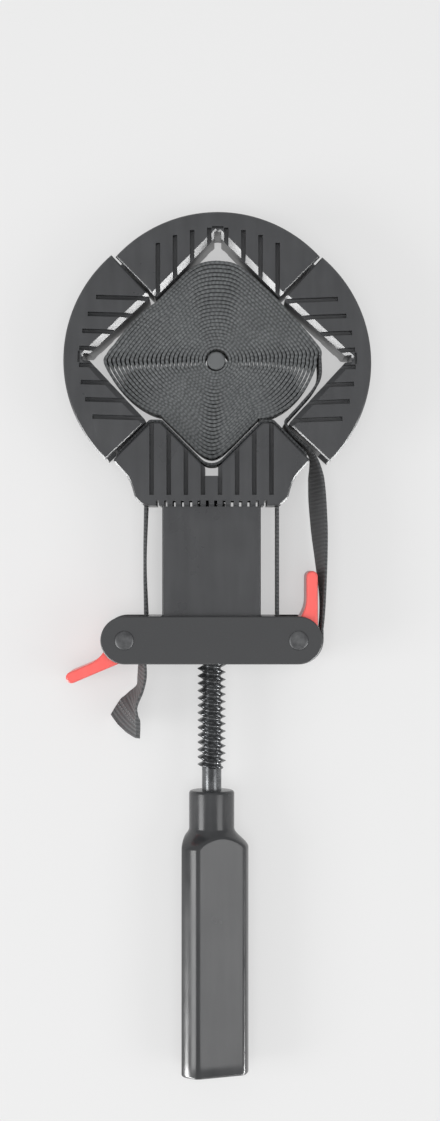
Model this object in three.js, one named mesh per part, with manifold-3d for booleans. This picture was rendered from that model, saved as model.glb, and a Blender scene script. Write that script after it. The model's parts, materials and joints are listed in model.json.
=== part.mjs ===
// Band clamp for picture frames: a main jaw with a spindle-driven crossbar, three loose corner jaws
// and a woven band that two cam levers hold. The spare band is wound up between the jaws.
// Millimetres, +Z up. The origin is on the underside of the main jaw, on the spindle's axis, and
// the spindle runs towards -Y.
import * as THREE from "three";
import { mergeVertices } from "three/addons/utils/BufferGeometryUtils.js";
import Module from "manifold-3d";

const wasm = await Module();
wasm.setup();

const HALF_ROOT = Math.SQRT1_2;

// Clearances and fineness
const SEAT_GAP = 0.3; // between pieces that touch
const SLIDE_GAP = 0.4; // between pieces that slide on each other
const OVERRUN = 1; // how far a cutter reaches past what it cuts
const SLIVER = 0.01; // points closer than this are joined after a cut
const SAME_POINT = 0.0001;
const ARC_STEP = THREE.MathUtils.degToRad(12); // turn of one facet in a fillet
const ROUND_SIDES = 24;

// Band
const BAND_WIDTH = 25;
const BAND_THICKNESS = 1;
const BAND_REACH = SEAT_GAP + BAND_THICKNESS / 2; // from a surface to the middle of the band on it
const BAND_SIDE_GAP = 0.5; // between the band's edge and a flange

// Jaws
const FLANGE_THICKNESS = 3; // top and bottom plates that keep the band in its groove
const BODY_HEIGHT = BAND_WIDTH + 2 * (FLANGE_THICKNESS + BAND_SIDE_GAP); // of the jaws and the crossbar
const AXIS_HEIGHT = BODY_HEIGHT / 2; // the spindle and the band run at half height
const FACE_CHAMFER = 2.2; // along the edges of the faces that hold a frame's corner
const EDGE_CHAMFER = 0.6;
const RIB_SLOT_WIDTH = 1.8;
const RIB_FIRST = 3.4; // from the jaw's middle to the first slot
const RIB_PITCH = 6.85;
const RIBS_PER_SIDE = 4;
const RIB_WALL = 1.2; // left between a slot's end and the groove
const TIP_RADIUS = 1.2;

// Loose corner jaw: V faces, joint faces at right angles to them, round back
const JAW_FACE = 35.3; // length of one V face
const JAW_BACK = 9; // from the V corner to the round back
const JAW_BACK_RADIUS = 55.5;
const JAW_GROOVE = 5; // depth of the band's groove in the back
const JAW_SLOT_DEPTH = 4;
const APEX_NOTCH_WIDTH = 2.8;
const APEX_NOTCH_DEPTH = 1.2;
const HEEL_SLOT = [4.5, 0.9]; // the short slot behind the V corner: across and along the jaw's axis
const HEEL_SLOT_DEPTH = 2;
const HEEL_SLOT_PLACE = 2.8; // its middle, behind the V corner
const TOP_JAW_CORNER = [2.5, 100.3];
const LEFT_JAW_CORNER = [-50.3, 51.4];
const LEFT_JAW_TURN = THREE.MathUtils.degToRad(88.3);
const RIGHT_JAW_CORNER = [54.9, 50.6];
const RIGHT_JAW_TURN = THREE.MathUtils.degToRad(-87.8);

// Main jaw
const MAIN_CORNER = 4.6; // the V corner, above the origin
const MAIN_TIP = 25.1; // height of the arms' blunt tips
const MAIN_FACE = 49.5; // where the two joint faces would meet
const MAIN_NOSE = 39.6; // half the width over the arms
const MAIN_BOTTOM = -8.2;
const MAIN_LIP = 1; // of the bottom edge, outside the band's middle
const MAIN_HIP_RISE = 3; // the flank's corners, from the bottom edge's end
const MAIN_HIP_REACH = 3;
const MAIN_WAIST_RISE = 10.8;
const MAIN_WAIST_REACH = 5.2;
const MAIN_SLOT_END = -3.9;
const NOSE_RADIUS = 1.5;
const HIP_RADIUS = 3;
const WAIST_RADIUS = 14;
const WINDOW_WIDTH = 5.2; // relief in the V corner
const WINDOW_BOTTOM = 3.7;
const NOTCH_COUNT = 14;
const NOTCH_PITCH = 3.33;
const NOTCH_WIDTH = 1.2;
const NOTCH_DEPTH = 2;
const LOOP_CORNER_RADIUS = 6.5; // how the band rounds the V corner
const LOOP_TIP_RADIUS = 1.4;
const FLANK_LEAN = THREE.MathUtils.degToRad(30); // of the band under the arms

// Guide tongue: an upside-down channel that is held in the main jaw
const TONGUE_HALF = 19.8;
const TONGUE_COVER = 3.4; // from its roof to the jaw's top
const TONGUE_TOP = BODY_HEIGHT - TONGUE_COVER;
const TONGUE_FOOT = 5.6;
const TONGUE_WALL = 2.5;
const TONGUE_END = -71.2;
const TONGUE_ROOT = 3.2; // length held in the jaw
const TONGUE_CHAMFER = 0.8;
const TONGUE_CORNER = 3.5; // cut off the corners of its free end

// Crossbar
const POST_WIDTH = 5.6; // between the tongue and the band
const STRAND_X = TONGUE_HALF + SLIDE_GAP + POST_WIDTH + BAND_REACH; // middle of the band beside the tongue
const CAM_HIGH = 7.5; // the cam's radius where it presses on the band
const CAM_LOW = 6.3;
const PIN_X = STRAND_X + BAND_REACH + CAM_HIGH;
const BAR_RADIUS = 9.6;
const BAR_HALF = PIN_X + BAR_RADIUS;
const BAR_Y = -62.2;
const PLATE_THICKNESS = 2.2;
const PLATE_CHAMFER = 0.4;
const PIN_RADIUS = 3;
const PIN_HEAD_RADIUS = 3.6;
const PIN_HEAD_HEIGHT = 1;
const PIN_HEAD_RISE = 0.4; // of the riveted head above the top plate
const PIN_DOME = 0.5;
const BLOCK_BORE_GAP = 0.3;
const NUT_FLATS = BODY_HEIGHT / 2; // across its flats
const NUT_LENGTH = 12;
const NUT_CHAMFER = 1;

// Cam lever, drawn with its pin at the origin and its arm along +X
const LEVER_REACH = 27.8;
const LEVER_ARM_OFFSET = 5.5;
const LEVER_ARM_THICKNESS = 4.6;
const CAM_OPENING = THREE.MathUtils.degToRad(113); // travel between open and closed
const CLOSED_DIRECTION = THREE.MathUtils.degToRad(203);
const LEVER_FILLET_SHARES = [0.34, 0.6]; // of the reach: where the arm's hollow starts and ends
const CAM_ARC_SHARES = [0.25, 0.95]; // of a turn: where the cam's outline leaves and meets the arm
const CAM_STEPS = 30;

// Spindle and what holds it
const SPINDLE_RADIUS = 5.8; // over the thread
const SPINDLE_NECK_RADIUS = 4;
const SPINDLE_HEAD_RADIUS = 5.5;
const SPINDLE_HEAD_LENGTH = 6;
const SPINDLE_CHAMFER = 0.9;
const SPINDLE_THREAD_END = -116.2;
const SPINDLE_TANG_RADIUS = 3.5;
const SPINDLE_TANG_LENGTH = 14; // inside the handle
const PAD_RADIUS = 8;
const PAD_THICKNESS = 1.8;
const KEEPER_THICKNESS = 1.8;
const KEEPER_DROP = 1.5; // the keeper's foot above the tongue's

// Handle: a collar that flares into a round grip with three flats, open and hollow at its end
const HANDLE_START = -123.7;
const HANDLE_LENGTH = 115;
const COLLAR_RADIUS = 9.2;
const COLLAR_LENGTH = 15.2;
const COLLAR_ROUND = 1.2;
const SHOULDER_LENGTH = 8;
const SHOULDER_SHARES = [
  [0, 0],
  [0.2, 0.08],
  [0.45, 0.36],
  [0.7, 0.76],
  [0.86, 0.94],
  [1, 1],
]; // of its length, and of the way from the collar's radius to the grip's
const GRIP_RADIUS = 15;
const GRIP_FLAT = 11; // from the axis to a flat
const GRIP_WALL = 2.6;
const GRIP_TURN = THREE.MathUtils.degToRad(8); // of the three corners
const GRIP_END_ROUND = 1;
const GRIP_SIDES = 60;
const HOLLOW_FLOOR = 24; // handle left solid at the spindle's end
const CROSS_PIN_RADIUS = 1.5;
const CROSS_PIN_PLACE = 9; // from the handle's start

// Coil of spare band
const COIL_TURNS = 24;
const COIL_STEPS = 24; // facets in one turn
const COIL_THICKNESS = 0.6; // drawn thinner than the band, so that the turns stay apart
const COIL_LEAST_GAP = 0.4;
const COIL_HALF_U = 31.6; // half across the flats that face the left and right arms
const COIL_HALF_V = 32.6;
const COIL_CENTRE = [0.7, 52.6];
const COIL_CORE_CENTRE = [1.9, 50.4];
const COIL_CORE_RADIUS = 3.8;
const COIL_CORNER_POWERS = [10, 4, 20, 10]; // right, top, left, bottom: how square each corner is
const COIL_LIFT = 0.3;
const COIL_EASE = 1.5; // how fast its square turns grow round towards the core
const CORE_CHAMFER = 0.6;

// Free stretches of the band in rows of shares: of the way along X and along Y from the stretch's start
// to its end, then how far the top edge lies beside the bottom edge and how low the middle lies, in
// band widths
const TAIL_START = 9.8; // below the crossbar's middle
const TAIL_SPAN = [-9.1, -26];
const TAIL_SHARES = [
  [0, 0, 0, 0, 0],
  [0.08, 0.17, 0.072, -0.016, 0.016],
  [0.16, 0.39, 0.09, -0.064, 0.048],
  [0.34, 0.6, 0.16, -0.136, 0.096],
  [0.68, 0.82, 0.3, -0.26, 0.13],
  [1, 1, 0.42, -0.36, 0.14],
];
const RUN_START = 4.6; // above the crossbar's middle
const RUN_NOSE_GAP = 2.1; // from the main jaw's nose to where the run turns into the gap beside it
const RUN_FREE_SHARES = [
  [0, 0, 0, 0, 0],
  [-0.08, 0.108, 0.06, 0, 0],
  [-0.1, 0.221, 0.09, 0, 0.008],
  [-0.06, 0.306, 0.1, 0, 0.02],
  [0.04, 0.405, 0.18, 0, 0.04],
  [0.25, 0.589, 0.24, 0.008, 0.064],
  [0.4, 0.759, 0.25, 0.016, 0.072],
  [0.48, 0.873, 0.17, 0.024, 0.072],
  [0.62, 0.949, 0.056, 0.016, 0.064],
  [1, 1, 0.004, 0.004, 0.056],
];
// Along the gap, round the right jaw's tip and along its face: shares of the way, and of the band's reach
const RUN_GAP_SHARES = [[0.4, 0.048], [0.75, 0.048]];
const RUN_TIP_SHARES = [[0.92, 0.45, 0.064], [-1.1, 1.72, 0.072]];
const RUN_FACE_SHARES = [[0.187, 1.94, 0.088], [0.497, 2.56, 0.112], [0.633, 4.68, 0.124]];
const TAIL_STEPS = 18;
const RUN_STEPS = 72;
const HEM_LENGTH = 9; // folded end of the tail
const HEM_THICKNESS = 2.2;

// Colours
const BLACK_PLASTIC = { color: 0x3b3e42, roughness: 0.55, metalness: 0 };
const WOVEN_BAND = { color: 0x3f4245, roughness: 0.9, metalness: 0 };
const CORAL_PLASTIC = { color: 0xee5b4e, roughness: 0.42, metalness: 0 };
const PAINTED_STEEL = { color: 0x45484b, roughness: 0.45, metalness: 0.6 };
const BRIGHT_STEEL = { color: 0xa6a9ac, roughness: 0.35, metalness: 1 };
const BLACKENED_STEEL = { color: 0x55585b, roughness: 0.4, metalness: 0.9 };

// Solids and meshes
function toSolid(geometry) {
  const bare = new THREE.BufferGeometry();
  bare.setAttribute("position", geometry.getAttribute("position"));
  if (geometry.index) bare.setIndex(geometry.index);
  const merged = mergeVertices(bare, SAME_POINT);
  return new wasm.Manifold(
    new wasm.Mesh({
      numProp: 3,
      vertProperties: new Float32Array(merged.getAttribute("position").array),
      triVerts: new Uint32Array(merged.index.array),
    }),
  );
}

function toGeometry(solid) {
  const { vertProperties, triVerts } = solid.asOriginal().simplify(SLIVER).getMesh();
  const geometry = new THREE.BufferGeometry();
  geometry.setAttribute("position", new THREE.BufferAttribute(new Float32Array(vertProperties), 3));
  geometry.setIndex(new THREE.BufferAttribute(new Uint32Array(triVerts), 1));
  return geometry;
}

function piece(name, geometry, look) {
  geometry.computeVertexNormals();
  const mesh = new THREE.Mesh(geometry, new THREE.MeshStandardMaterial({ ...look, flatShading: true }));
  mesh.name = name;
  return mesh;
}

// A corner list [x, y, radius] as points, with each corner rounded by an arc
function filleted(corners, closed = true) {
  const points = [];
  corners.forEach(([x, y, radius = 0], i) => {
    const here = new THREE.Vector2(x, y);
    const isEnd = !closed && (i === 0 || i === corners.length - 1);
    if (isEnd || radius === 0) {
      points.push(here);
      return;
    }
    const before = new THREE.Vector2(...corners.at(i - 1).slice(0, 2)).sub(here);
    const after = new THREE.Vector2(...corners[(i + 1) % corners.length].slice(0, 2)).sub(here);
    const [longBefore, longAfter] = [before.length(), after.length()];
    before.normalize();
    after.normalize();
    const half = Math.acos(THREE.MathUtils.clamp(before.dot(after), -1, 1)) / 2;
    const cut = Math.min(radius / Math.tan(half), longBefore / 2, longAfter / 2);
    const reach = cut * Math.tan(half);
    const centre = here.clone().add(before.clone().add(after).normalize().multiplyScalar(reach / Math.sin(half)));
    const from = here.clone().addScaledVector(before, cut).sub(centre);
    const turn = (Math.PI - 2 * half) * Math.sign(before.cross(after)) * -1;
    const steps = Math.max(2, Math.ceil(Math.abs(turn) / ARC_STEP));
    for (let k = 0; k <= steps; k++) {
      points.push(from.clone().rotateAround(new THREE.Vector2(), (turn * k) / steps).add(centre));
    }
  });
  return points;
}

// An outline raised from one height to another, with an optional chamfer round both faces
function raised(points, low, high, chamfer = 0) {
  const options = { depth: high - low - 2 * chamfer, bevelEnabled: chamfer > 0, curveSegments: ROUND_SIDES };
  Object.assign(options, { bevelThickness: chamfer, bevelSize: chamfer, bevelOffset: -chamfer, bevelSegments: 1 });
  const geometry = new THREE.ExtrudeGeometry(new THREE.Shape(points), options);
  return toSolid(geometry.translate(0, 0, low + chamfer));
}

function box(x, y, z) {
  const geometry = new THREE.BoxGeometry(x[1] - x[0], y[1] - y[0], z[1] - z[0]);
  return toSolid(geometry.translate((x[0] + x[1]) / 2, (y[0] + y[1]) / 2, (z[0] + z[1]) / 2));
}

// A lathe's faces look outwards only when its profile rises
function lathed(profile, sides) {
  const rising = profile[0][1] < profile.at(-1)[1] ? profile : [...profile].reverse();
  return new THREE.LatheGeometry(
    rising.map(([radius, place]) => new THREE.Vector2(radius, place)),
    sides,
  );
}

// A [radius, place] profile turned round the spindle's axis, with places along Y
function turned(profile, sides = ROUND_SIDES) {
  return toSolid(lathed(profile, sides).translate(0, 0, AXIS_HEIGHT));
}

// The same for an upright axis through (x, y), with places along Z
function turnedUpright(profile, x, y, sides = ROUND_SIDES) {
  return toSolid(lathed(profile, sides).rotateX(Math.PI / 2).translate(x, y, 0));
}

function joined(solids) {
  return wasm.Manifold.union(solids);
}

// A flat band through stations { at, up, out }: its middle, its width's direction, its face's direction
function bandSolid(stations, thicknessAt) {
  const positions = [];
  const index = [];
  stations.forEach(({ at, up, out }, i) => {
    const [w, t] = [BAND_WIDTH / 2, thicknessAt(i) / 2];
    for (const [a, b] of [[1, 1], [1, -1], [-1, -1], [-1, 1]]) {
      const corner = at.clone().addScaledVector(up, a * w).addScaledVector(out, b * t);
      positions.push(...corner.toArray());
    }
    if (i > 0) {
      const [o, n] = [4 * (i - 1), 4 * i];
      for (let k = 0; k < 4; k++) {
        const next = (k + 1) % 4;
        index.push(o + k, o + next, n + next, o + k, n + next, n + k);
      }
    }
  });
  const last = 4 * (stations.length - 1);
  index.push(0, 2, 1, 0, 3, 2, last, last + 1, last + 2, last, last + 2, last + 3);
  const geometry = new THREE.BufferGeometry();
  geometry.setAttribute("position", new THREE.Float32BufferAttribute(positions, 3));
  geometry.setIndex(index);
  const solid = toSolid(geometry);
  if (solid.volume() > 0) return geometry;
  for (let k = 0; k < index.length; k += 3) [index[k], index[k + 1]] = [index[k + 1], index[k]];
  geometry.setIndex(index);
  return geometry;
}

// Upright stations along a flat path, with mitred corners
function uprightStations(points, height) {
  return points.map((point, i) => {
    const back = point.clone().sub(points[Math.max(i - 1, 0)]);
    const ahead = points[Math.min(i + 1, points.length - 1)].clone().sub(point);
    if (i === 0) back.copy(ahead);
    if (i === points.length - 1) ahead.copy(back);
    back.normalize();
    ahead.normalize();
    const along = back.clone().add(ahead).normalize();
    const mitre = 1 / Math.max(along.dot(ahead), HALF_ROOT);
    return {
      at: new THREE.Vector3(point.x, point.y, height),
      up: new THREE.Vector3(0, 0, 1),
      out: new THREE.Vector3(-along.y * mitre, along.x * mitre, 0),
    };
  });
}

// Leaning stations along a route of [x, y, lean x, lean y, height]
function leaningStations(route, steps) {
  const middle = new THREE.CatmullRomCurve3(route.map(([x, y, , , z]) => new THREE.Vector3(x, y, z)));
  const lean = new THREE.CatmullRomCurve3(route.map(([, , x, y]) => new THREE.Vector3(x, y, 0)));
  const stations = [];
  for (let k = 0; k <= steps; k++) {
    const at = middle.getPoint(k / steps);
    const along = middle.getTangent(k / steps);
    const tilt = lean.getPoint(k / steps);
    const up = new THREE.Vector3(tilt.x, tilt.y, Math.sqrt(BAND_WIDTH ** 2 - tilt.lengthSq())).normalize();
    const out = up.clone().cross(along).normalize();
    up.copy(along.clone().cross(out)).normalize();
    stations.push({ at, up, out });
  }
  return stations;
}

// A square bar along a straight edge, turned so that it chamfers the edge
function edgeCutter([x0, y0], [x1, y1], height, size) {
  const half = size * HALF_ROOT;
  const length = Math.hypot(x1 - x0, y1 - y0);
  return box([-OVERRUN, length + OVERRUN], [-half, half], [-half, half])
    .rotate([45, 0, 0])
    .rotate([0, 0, THREE.MathUtils.radToDeg(Math.atan2(y1 - y0, x1 - x0))])
    .translate([x0, y0, height]);
}

// Loose corner jaw, drawn with its V corner at the origin and its back towards +Y
function looseJaw() {
  const face = JAW_FACE * HALF_ROOT;
  const back = JAW_BACK - JAW_BACK_RADIUS;
  const wing = JAW_BACK_RADIUS; // the joint faces are drawn past the round back, which trims them
  const tips = [
    [face, -face, TIP_RADIUS],
    [face + wing, wing - face],
    [-face - wing, wing - face],
    [-face, -face, TIP_RADIUS],
  ];
  const wedge = filleted([[0, 0], ...tips]);
  const disc = (radius, low, high, chamfer) => {
    const rim = new THREE.Path().absarc(0, back, radius, 0, 2 * Math.PI).getPoints(4 * ROUND_SIDES);
    return raised(rim.slice(1), low, high, chamfer);
  };
  const plate = (low, high) =>
    raised(wedge, low, high, EDGE_CHAMFER).intersect(disc(JAW_BACK_RADIUS, low, high, EDGE_CHAMFER));
  const coreRadius = JAW_BACK_RADIUS - JAW_GROOVE;
  const core = raised(wedge, FLANGE_THICKNESS / 2, BODY_HEIGHT - FLANGE_THICKNESS / 2).intersect(
    disc(coreRadius, FLANGE_THICKNESS / 2, BODY_HEIGHT - FLANGE_THICKNESS / 2),
  );
  const [heelAcross, heelAlong] = HEEL_SLOT;
  const cuts = [
    box(
      [-APEX_NOTCH_WIDTH / 2, APEX_NOTCH_WIDTH / 2],
      [-APEX_NOTCH_WIDTH, APEX_NOTCH_DEPTH],
      [-OVERRUN, BODY_HEIGHT + OVERRUN],
    ),
    box(
      [-heelAcross / 2, heelAcross / 2],
      [HEEL_SLOT_PLACE - heelAlong / 2, HEEL_SLOT_PLACE + heelAlong / 2],
      [BODY_HEIGHT - HEEL_SLOT_DEPTH, BODY_HEIGHT + OVERRUN],
    ),
  ];
  for (const side of [-1, 1]) {
    for (const height of [0, BODY_HEIGHT]) cuts.push(edgeCutter([0, 0], [side * face, -face], height, FACE_CHAMFER));
    for (let k = 0; k < RIBS_PER_SIDE; k++) {
      const middle = side * (RIB_FIRST + k * RIB_PITCH);
      const end = back + Math.sqrt((coreRadius - RIB_WALL) ** 2 - middle ** 2);
      const x = [middle - RIB_SLOT_WIDTH / 2, middle + RIB_SLOT_WIDTH / 2];
      const y = [-face - OVERRUN, end];
      cuts.push(box(x, y, [BODY_HEIGHT - JAW_SLOT_DEPTH, BODY_HEIGHT + OVERRUN]));
      cuts.push(box(x, y, [-OVERRUN, JAW_SLOT_DEPTH]));
    }
  }
  return joined([plate(0, FLANGE_THICKNESS), core, plate(BODY_HEIGHT - FLANGE_THICKNESS, BODY_HEIGHT)]).subtract(
    joined(cuts),
  );
}

function looseJaws() {
  const geometry = toGeometry(looseJaw());
  const places = {
    jaw_top: [TOP_JAW_CORNER, 0],
    jaw_left: [LEFT_JAW_CORNER, LEFT_JAW_TURN],
    jaw_right: [RIGHT_JAW_CORNER, RIGHT_JAW_TURN],
  };
  return Object.entries(places).map(([name, [[x, y], turn]]) => {
    const mesh = piece(name, geometry.clone(), BLACK_PLASTIC);
    mesh.position.set(x, y, 0);
    mesh.rotation.z = turn;
    return mesh;
  });
}

// Where the band's middle runs round the main jaw, as corners from the left strand to the V corner
const LOOP_FACE = MAIN_FACE + BAND_REACH / HALF_ROOT;
const LOOP_V = MAIN_CORNER + BAND_REACH / HALF_ROOT;
const LOOP_TIP = MAIN_TIP + BAND_REACH;

// The corner where a line under the arm, set in from the band's middle, meets a joint face
function noseCorner(setIn, faceMeet) {
  const lean = Math.tan(FLANK_LEAN);
  const start = STRAND_X - setIn / Math.cos(FLANK_LEAN);
  const rise = (faceMeet - start - MAIN_BOTTOM) / (1 + lean);
  return [start + rise * lean, MAIN_BOTTOM + rise];
}

function mirrored(corners) {
  const other = corners.map(([x, y, r]) => [-x, y, r]).reverse();
  return [...corners, ...other];
}

function mainJaw() {
  const halfRight = (nose, flank) => [
    [MAIN_TIP - MAIN_CORNER, MAIN_TIP, TIP_RADIUS],
    [MAIN_FACE - MAIN_TIP, MAIN_TIP, TIP_RADIUS],
    nose,
    ...flank,
  ];
  const foot = STRAND_X + MAIN_LIP;
  const flangeFlank = [
    [foot + MAIN_WAIST_REACH, MAIN_BOTTOM + MAIN_WAIST_RISE, WAIST_RADIUS],
    [foot + MAIN_HIP_REACH, MAIN_BOTTOM + MAIN_HIP_RISE, HIP_RADIUS],
    [foot, MAIN_BOTTOM, HIP_RADIUS],
  ];
  const flangeHalf = halfRight([MAIN_NOSE, MAIN_FACE - MAIN_NOSE, TIP_RADIUS], flangeFlank);
  const flange = filleted([[0, MAIN_CORNER], ...mirrored(flangeHalf)]);
  const coreNose = [...noseCorner(BAND_REACH, MAIN_FACE), NOSE_RADIUS];
  const coreFoot = [STRAND_X - BAND_REACH / Math.cos(FLANK_LEAN), MAIN_BOTTOM];
  const core = filleted([[0, MAIN_CORNER], ...mirrored(halfRight(coreNose, [coreFoot]))]);
  const body = joined([
    raised(flange, 0, FLANGE_THICKNESS, EDGE_CHAMFER),
    raised(core, FLANGE_THICKNESS / 2, BODY_HEIGHT - FLANGE_THICKNESS / 2),
    raised(flange, BODY_HEIGHT - FLANGE_THICKNESS, BODY_HEIGHT, EDGE_CHAMFER),
  ]);
  const allThrough = [-OVERRUN, BODY_HEIGHT + OVERRUN];
  const rootHalf = TONGUE_HALF + SEAT_GAP;
  const pocketEnd = MAIN_BOTTOM + TONGUE_ROOT + SEAT_GAP;
  const cuts = [
    box([-WINDOW_WIDTH / 2, WINDOW_WIDTH / 2], [WINDOW_BOTTOM, MAIN_CORNER + WINDOW_WIDTH], allThrough),
    box([-rootHalf, rootHalf], [MAIN_BOTTOM - OVERRUN, pocketEnd], [
      TONGUE_FOOT - SEAT_GAP,
      TONGUE_TOP + SEAT_GAP,
    ]),
    turned([
      [0, pocketEnd - OVERRUN],
      [PAD_RADIUS + SEAT_GAP, pocketEnd - OVERRUN],
      [PAD_RADIUS + SEAT_GAP, pocketEnd + PAD_THICKNESS],
      [0, pocketEnd + PAD_THICKNESS],
    ]),
  ];
  for (const side of [-1, 1]) {
    for (let k = 0; k < RIBS_PER_SIDE; k++) {
      const middle = side * (RIB_FIRST + k * RIB_PITCH);
      const x = [middle - RIB_SLOT_WIDTH / 2, middle + RIB_SLOT_WIDTH / 2];
      const y = [MAIN_SLOT_END, MAIN_TIP + OVERRUN];
      cuts.push(box(x, y, [BODY_HEIGHT - JAW_SLOT_DEPTH, BODY_HEIGHT + OVERRUN]));
      cuts.push(box(x, y, [-OVERRUN, JAW_SLOT_DEPTH]));
    }
  }
  return piece("main_jaw", toGeometry(body.subtract(joined([...cuts, ...edgeNotches()]))), BLACK_PLASTIC);
}

// The row of small notches where the tongue enters the main jaw
function edgeNotches() {
  return Array.from({ length: NOTCH_COUNT }, (_, k) => {
    const middle = (k - (NOTCH_COUNT - 1) / 2) * NOTCH_PITCH;
    return box(
      [middle - NOTCH_WIDTH / 2, middle + NOTCH_WIDTH / 2],
      [MAIN_BOTTOM - SEAT_GAP, MAIN_BOTTOM + NOTCH_DEPTH],
      [-OVERRUN, BODY_HEIGHT + OVERRUN],
    );
  });
}

function guideTongue() {
  const inner = TONGUE_HALF - TONGUE_WALL;
  const roof = TONGUE_TOP - TONGUE_WALL;
  const section = filleted([
    [-TONGUE_HALF, TONGUE_FOOT],
    [-inner, TONGUE_FOOT],
    [-inner, roof, TONGUE_CHAMFER],
    [inner, roof, TONGUE_CHAMFER],
    [inner, TONGUE_FOOT],
    [TONGUE_HALF, TONGUE_FOOT],
    [TONGUE_HALF, TONGUE_TOP, TONGUE_CHAMFER],
    [-TONGUE_HALF, TONGUE_TOP, TONGUE_CHAMFER],
  ]);
  const top = MAIN_BOTTOM + TONGUE_ROOT;
  const channel = raised(section, 0, top - TONGUE_END).rotate([90, 0, 0]).translate([0, top, 0]);
  const plan = raised(tonguePlan(top), -OVERRUN, BODY_HEIGHT);
  return piece("guide_tongue", toGeometry(channel.intersect(plan).subtract(joined(edgeNotches()))), BLACK_PLASTIC);
}

// The tongue seen from above: a strip whose free end has its corners cut off
function tonguePlan(top) {
  const half = TONGUE_HALF + OVERRUN;
  const end = TONGUE_HALF - TONGUE_CORNER;
  const corners = [
    [half, top + OVERRUN],
    [-half, top + OVERRUN],
    [-half, TONGUE_END + TONGUE_CORNER + OVERRUN],
    [-end, TONGUE_END],
    [end, TONGUE_END],
    [half, TONGUE_END + TONGUE_CORNER + OVERRUN],
  ];
  return corners.map(([x, y]) => new THREE.Vector2(x, y));
}

function thrustPad() {
  const face = MAIN_BOTTOM + TONGUE_ROOT + PAD_THICKNESS;
  const profile = [
    [0, face],
    [PAD_RADIUS, face],
    [PAD_RADIUS, face - PAD_THICKNESS],
    [0, face - PAD_THICKNESS],
  ];
  return piece("thrust_pad", toGeometry(turned(profile)), BRIGHT_STEEL);
}

// Where the spindle's tip, head and neck lie
const SPINDLE_TIP = MAIN_BOTTOM + TONGUE_ROOT - SEAT_GAP;
const NECK_START = SPINDLE_TIP - SPINDLE_HEAD_LENGTH;
const NECK_END = NECK_START - KEEPER_THICKNESS - 2 * SEAT_GAP;

function keeperPlate() {
  const half = TONGUE_HALF - TONGUE_WALL - SEAT_GAP;
  const roof = TONGUE_TOP - TONGUE_WALL - SEAT_GAP;
  const foot = TONGUE_FOOT + KEEPER_DROP;
  const slot = SPINDLE_NECK_RADIUS + SEAT_GAP;
  const outline = filleted([
    [-half, foot, TIP_RADIUS],
    [-slot, foot],
    [-slot, AXIS_HEIGHT + slot, slot],
    [slot, AXIS_HEIGHT + slot, slot],
    [slot, foot],
    [half, foot, TIP_RADIUS],
    [half, roof, TIP_RADIUS],
    [-half, roof, TIP_RADIUS],
  ]);
  const front = NECK_START - SEAT_GAP;
  const plate = raised(outline, 0, KEEPER_THICKNESS).rotate([90, 0, 0]).translate([0, front, 0]);
  return piece("keeper_plate", toGeometry(plate), BRIGHT_STEEL);
}

function barOutline() {
  const shape = new THREE.Shape();
  shape.absarc(PIN_X, BAR_Y, BAR_RADIUS, -Math.PI / 2, Math.PI / 2, false);
  shape.absarc(-PIN_X, BAR_Y, BAR_RADIUS, Math.PI / 2, 1.5 * Math.PI, false);
  return shape.getPoints(ROUND_SIDES / 2);
}

// The crossbar's two plates, with stepped holes for the pins' heads
function barPlate(name, low) {
  const high = low + PLATE_THICKNESS;
  const outer = low > 0 ? high : low;
  const inner = low > 0 ? low : high;
  const outward = Math.sign(outer - inner);
  const step = outer - outward * (PIN_HEAD_HEIGHT + SEAT_GAP);
  const holes = [-PIN_X, PIN_X].map((x) => {
    const profile = [
      [0, inner - outward * OVERRUN],
      [PIN_RADIUS + SEAT_GAP, inner - outward * OVERRUN],
      [PIN_RADIUS + SEAT_GAP, step],
      [PIN_HEAD_RADIUS + SEAT_GAP, step],
      [PIN_HEAD_RADIUS + SEAT_GAP, outer + outward * OVERRUN],
      [0, outer + outward * OVERRUN],
    ];
    return turnedUpright(profile, x, BAR_Y);
  });
  const plate = raised(barOutline(), low, high, PLATE_CHAMFER);
  return piece(name, toGeometry(plate.subtract(joined(holes))), PAINTED_STEEL);
}

// Moulded block between the plates: two posts for the band and a middle that holds the nut
function barBlock() {
  const y = [BAR_Y - BAR_RADIUS, BAR_Y + BAR_RADIUS];
  const low = PLATE_THICKNESS + SEAT_GAP;
  const high = BODY_HEIGHT - PLATE_THICKNESS - SEAT_GAP;
  const outer = STRAND_X - BAND_REACH;
  const post = TONGUE_HALF + SLIDE_GAP;
  const middle = TONGUE_HALF - TONGUE_WALL - SLIDE_GAP;
  const floor = TONGUE_FOOT - SEAT_GAP;
  const roof = TONGUE_TOP - TONGUE_WALL - SLIDE_GAP;
  const nut = (radius) => hexagon(radius).map(([x, z]) => new THREE.Vector2(x, z));
  const corner = (NUT_FLATS / 2 + SEAT_GAP) / Math.cos(Math.PI / 6);
  const nutLength = NUT_LENGTH + 2 * SEAT_GAP;
  const pocket = raised(nut(corner), 0, nutLength)
    .rotate([90, 0, 0])
    .translate([0, BAR_Y + nutLength / 2, AXIS_HEIGHT]);
  const body = joined([
    box([-outer, outer], y, [low, floor]),
    box([-outer, -post], y, [low, high]),
    box([post, outer], y, [low, high]),
    box([-middle, middle], y, [low, roof]),
  ]);
  const bore = SPINDLE_RADIUS + BLOCK_BORE_GAP;
  const cuts = [
    pocket,
    box([-corner, corner], [BAR_Y - nutLength / 2, BAR_Y + nutLength / 2], [low - OVERRUN, AXIS_HEIGHT]),
    turned([
      [0, y[0] - OVERRUN],
      [bore, y[0] - OVERRUN],
      [bore, y[1] + OVERRUN],
      [0, y[1] + OVERRUN],
    ]),
  ];
  return piece("crossbar_block", toGeometry(body.subtract(joined(cuts))), BLACK_PLASTIC);
}

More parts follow.
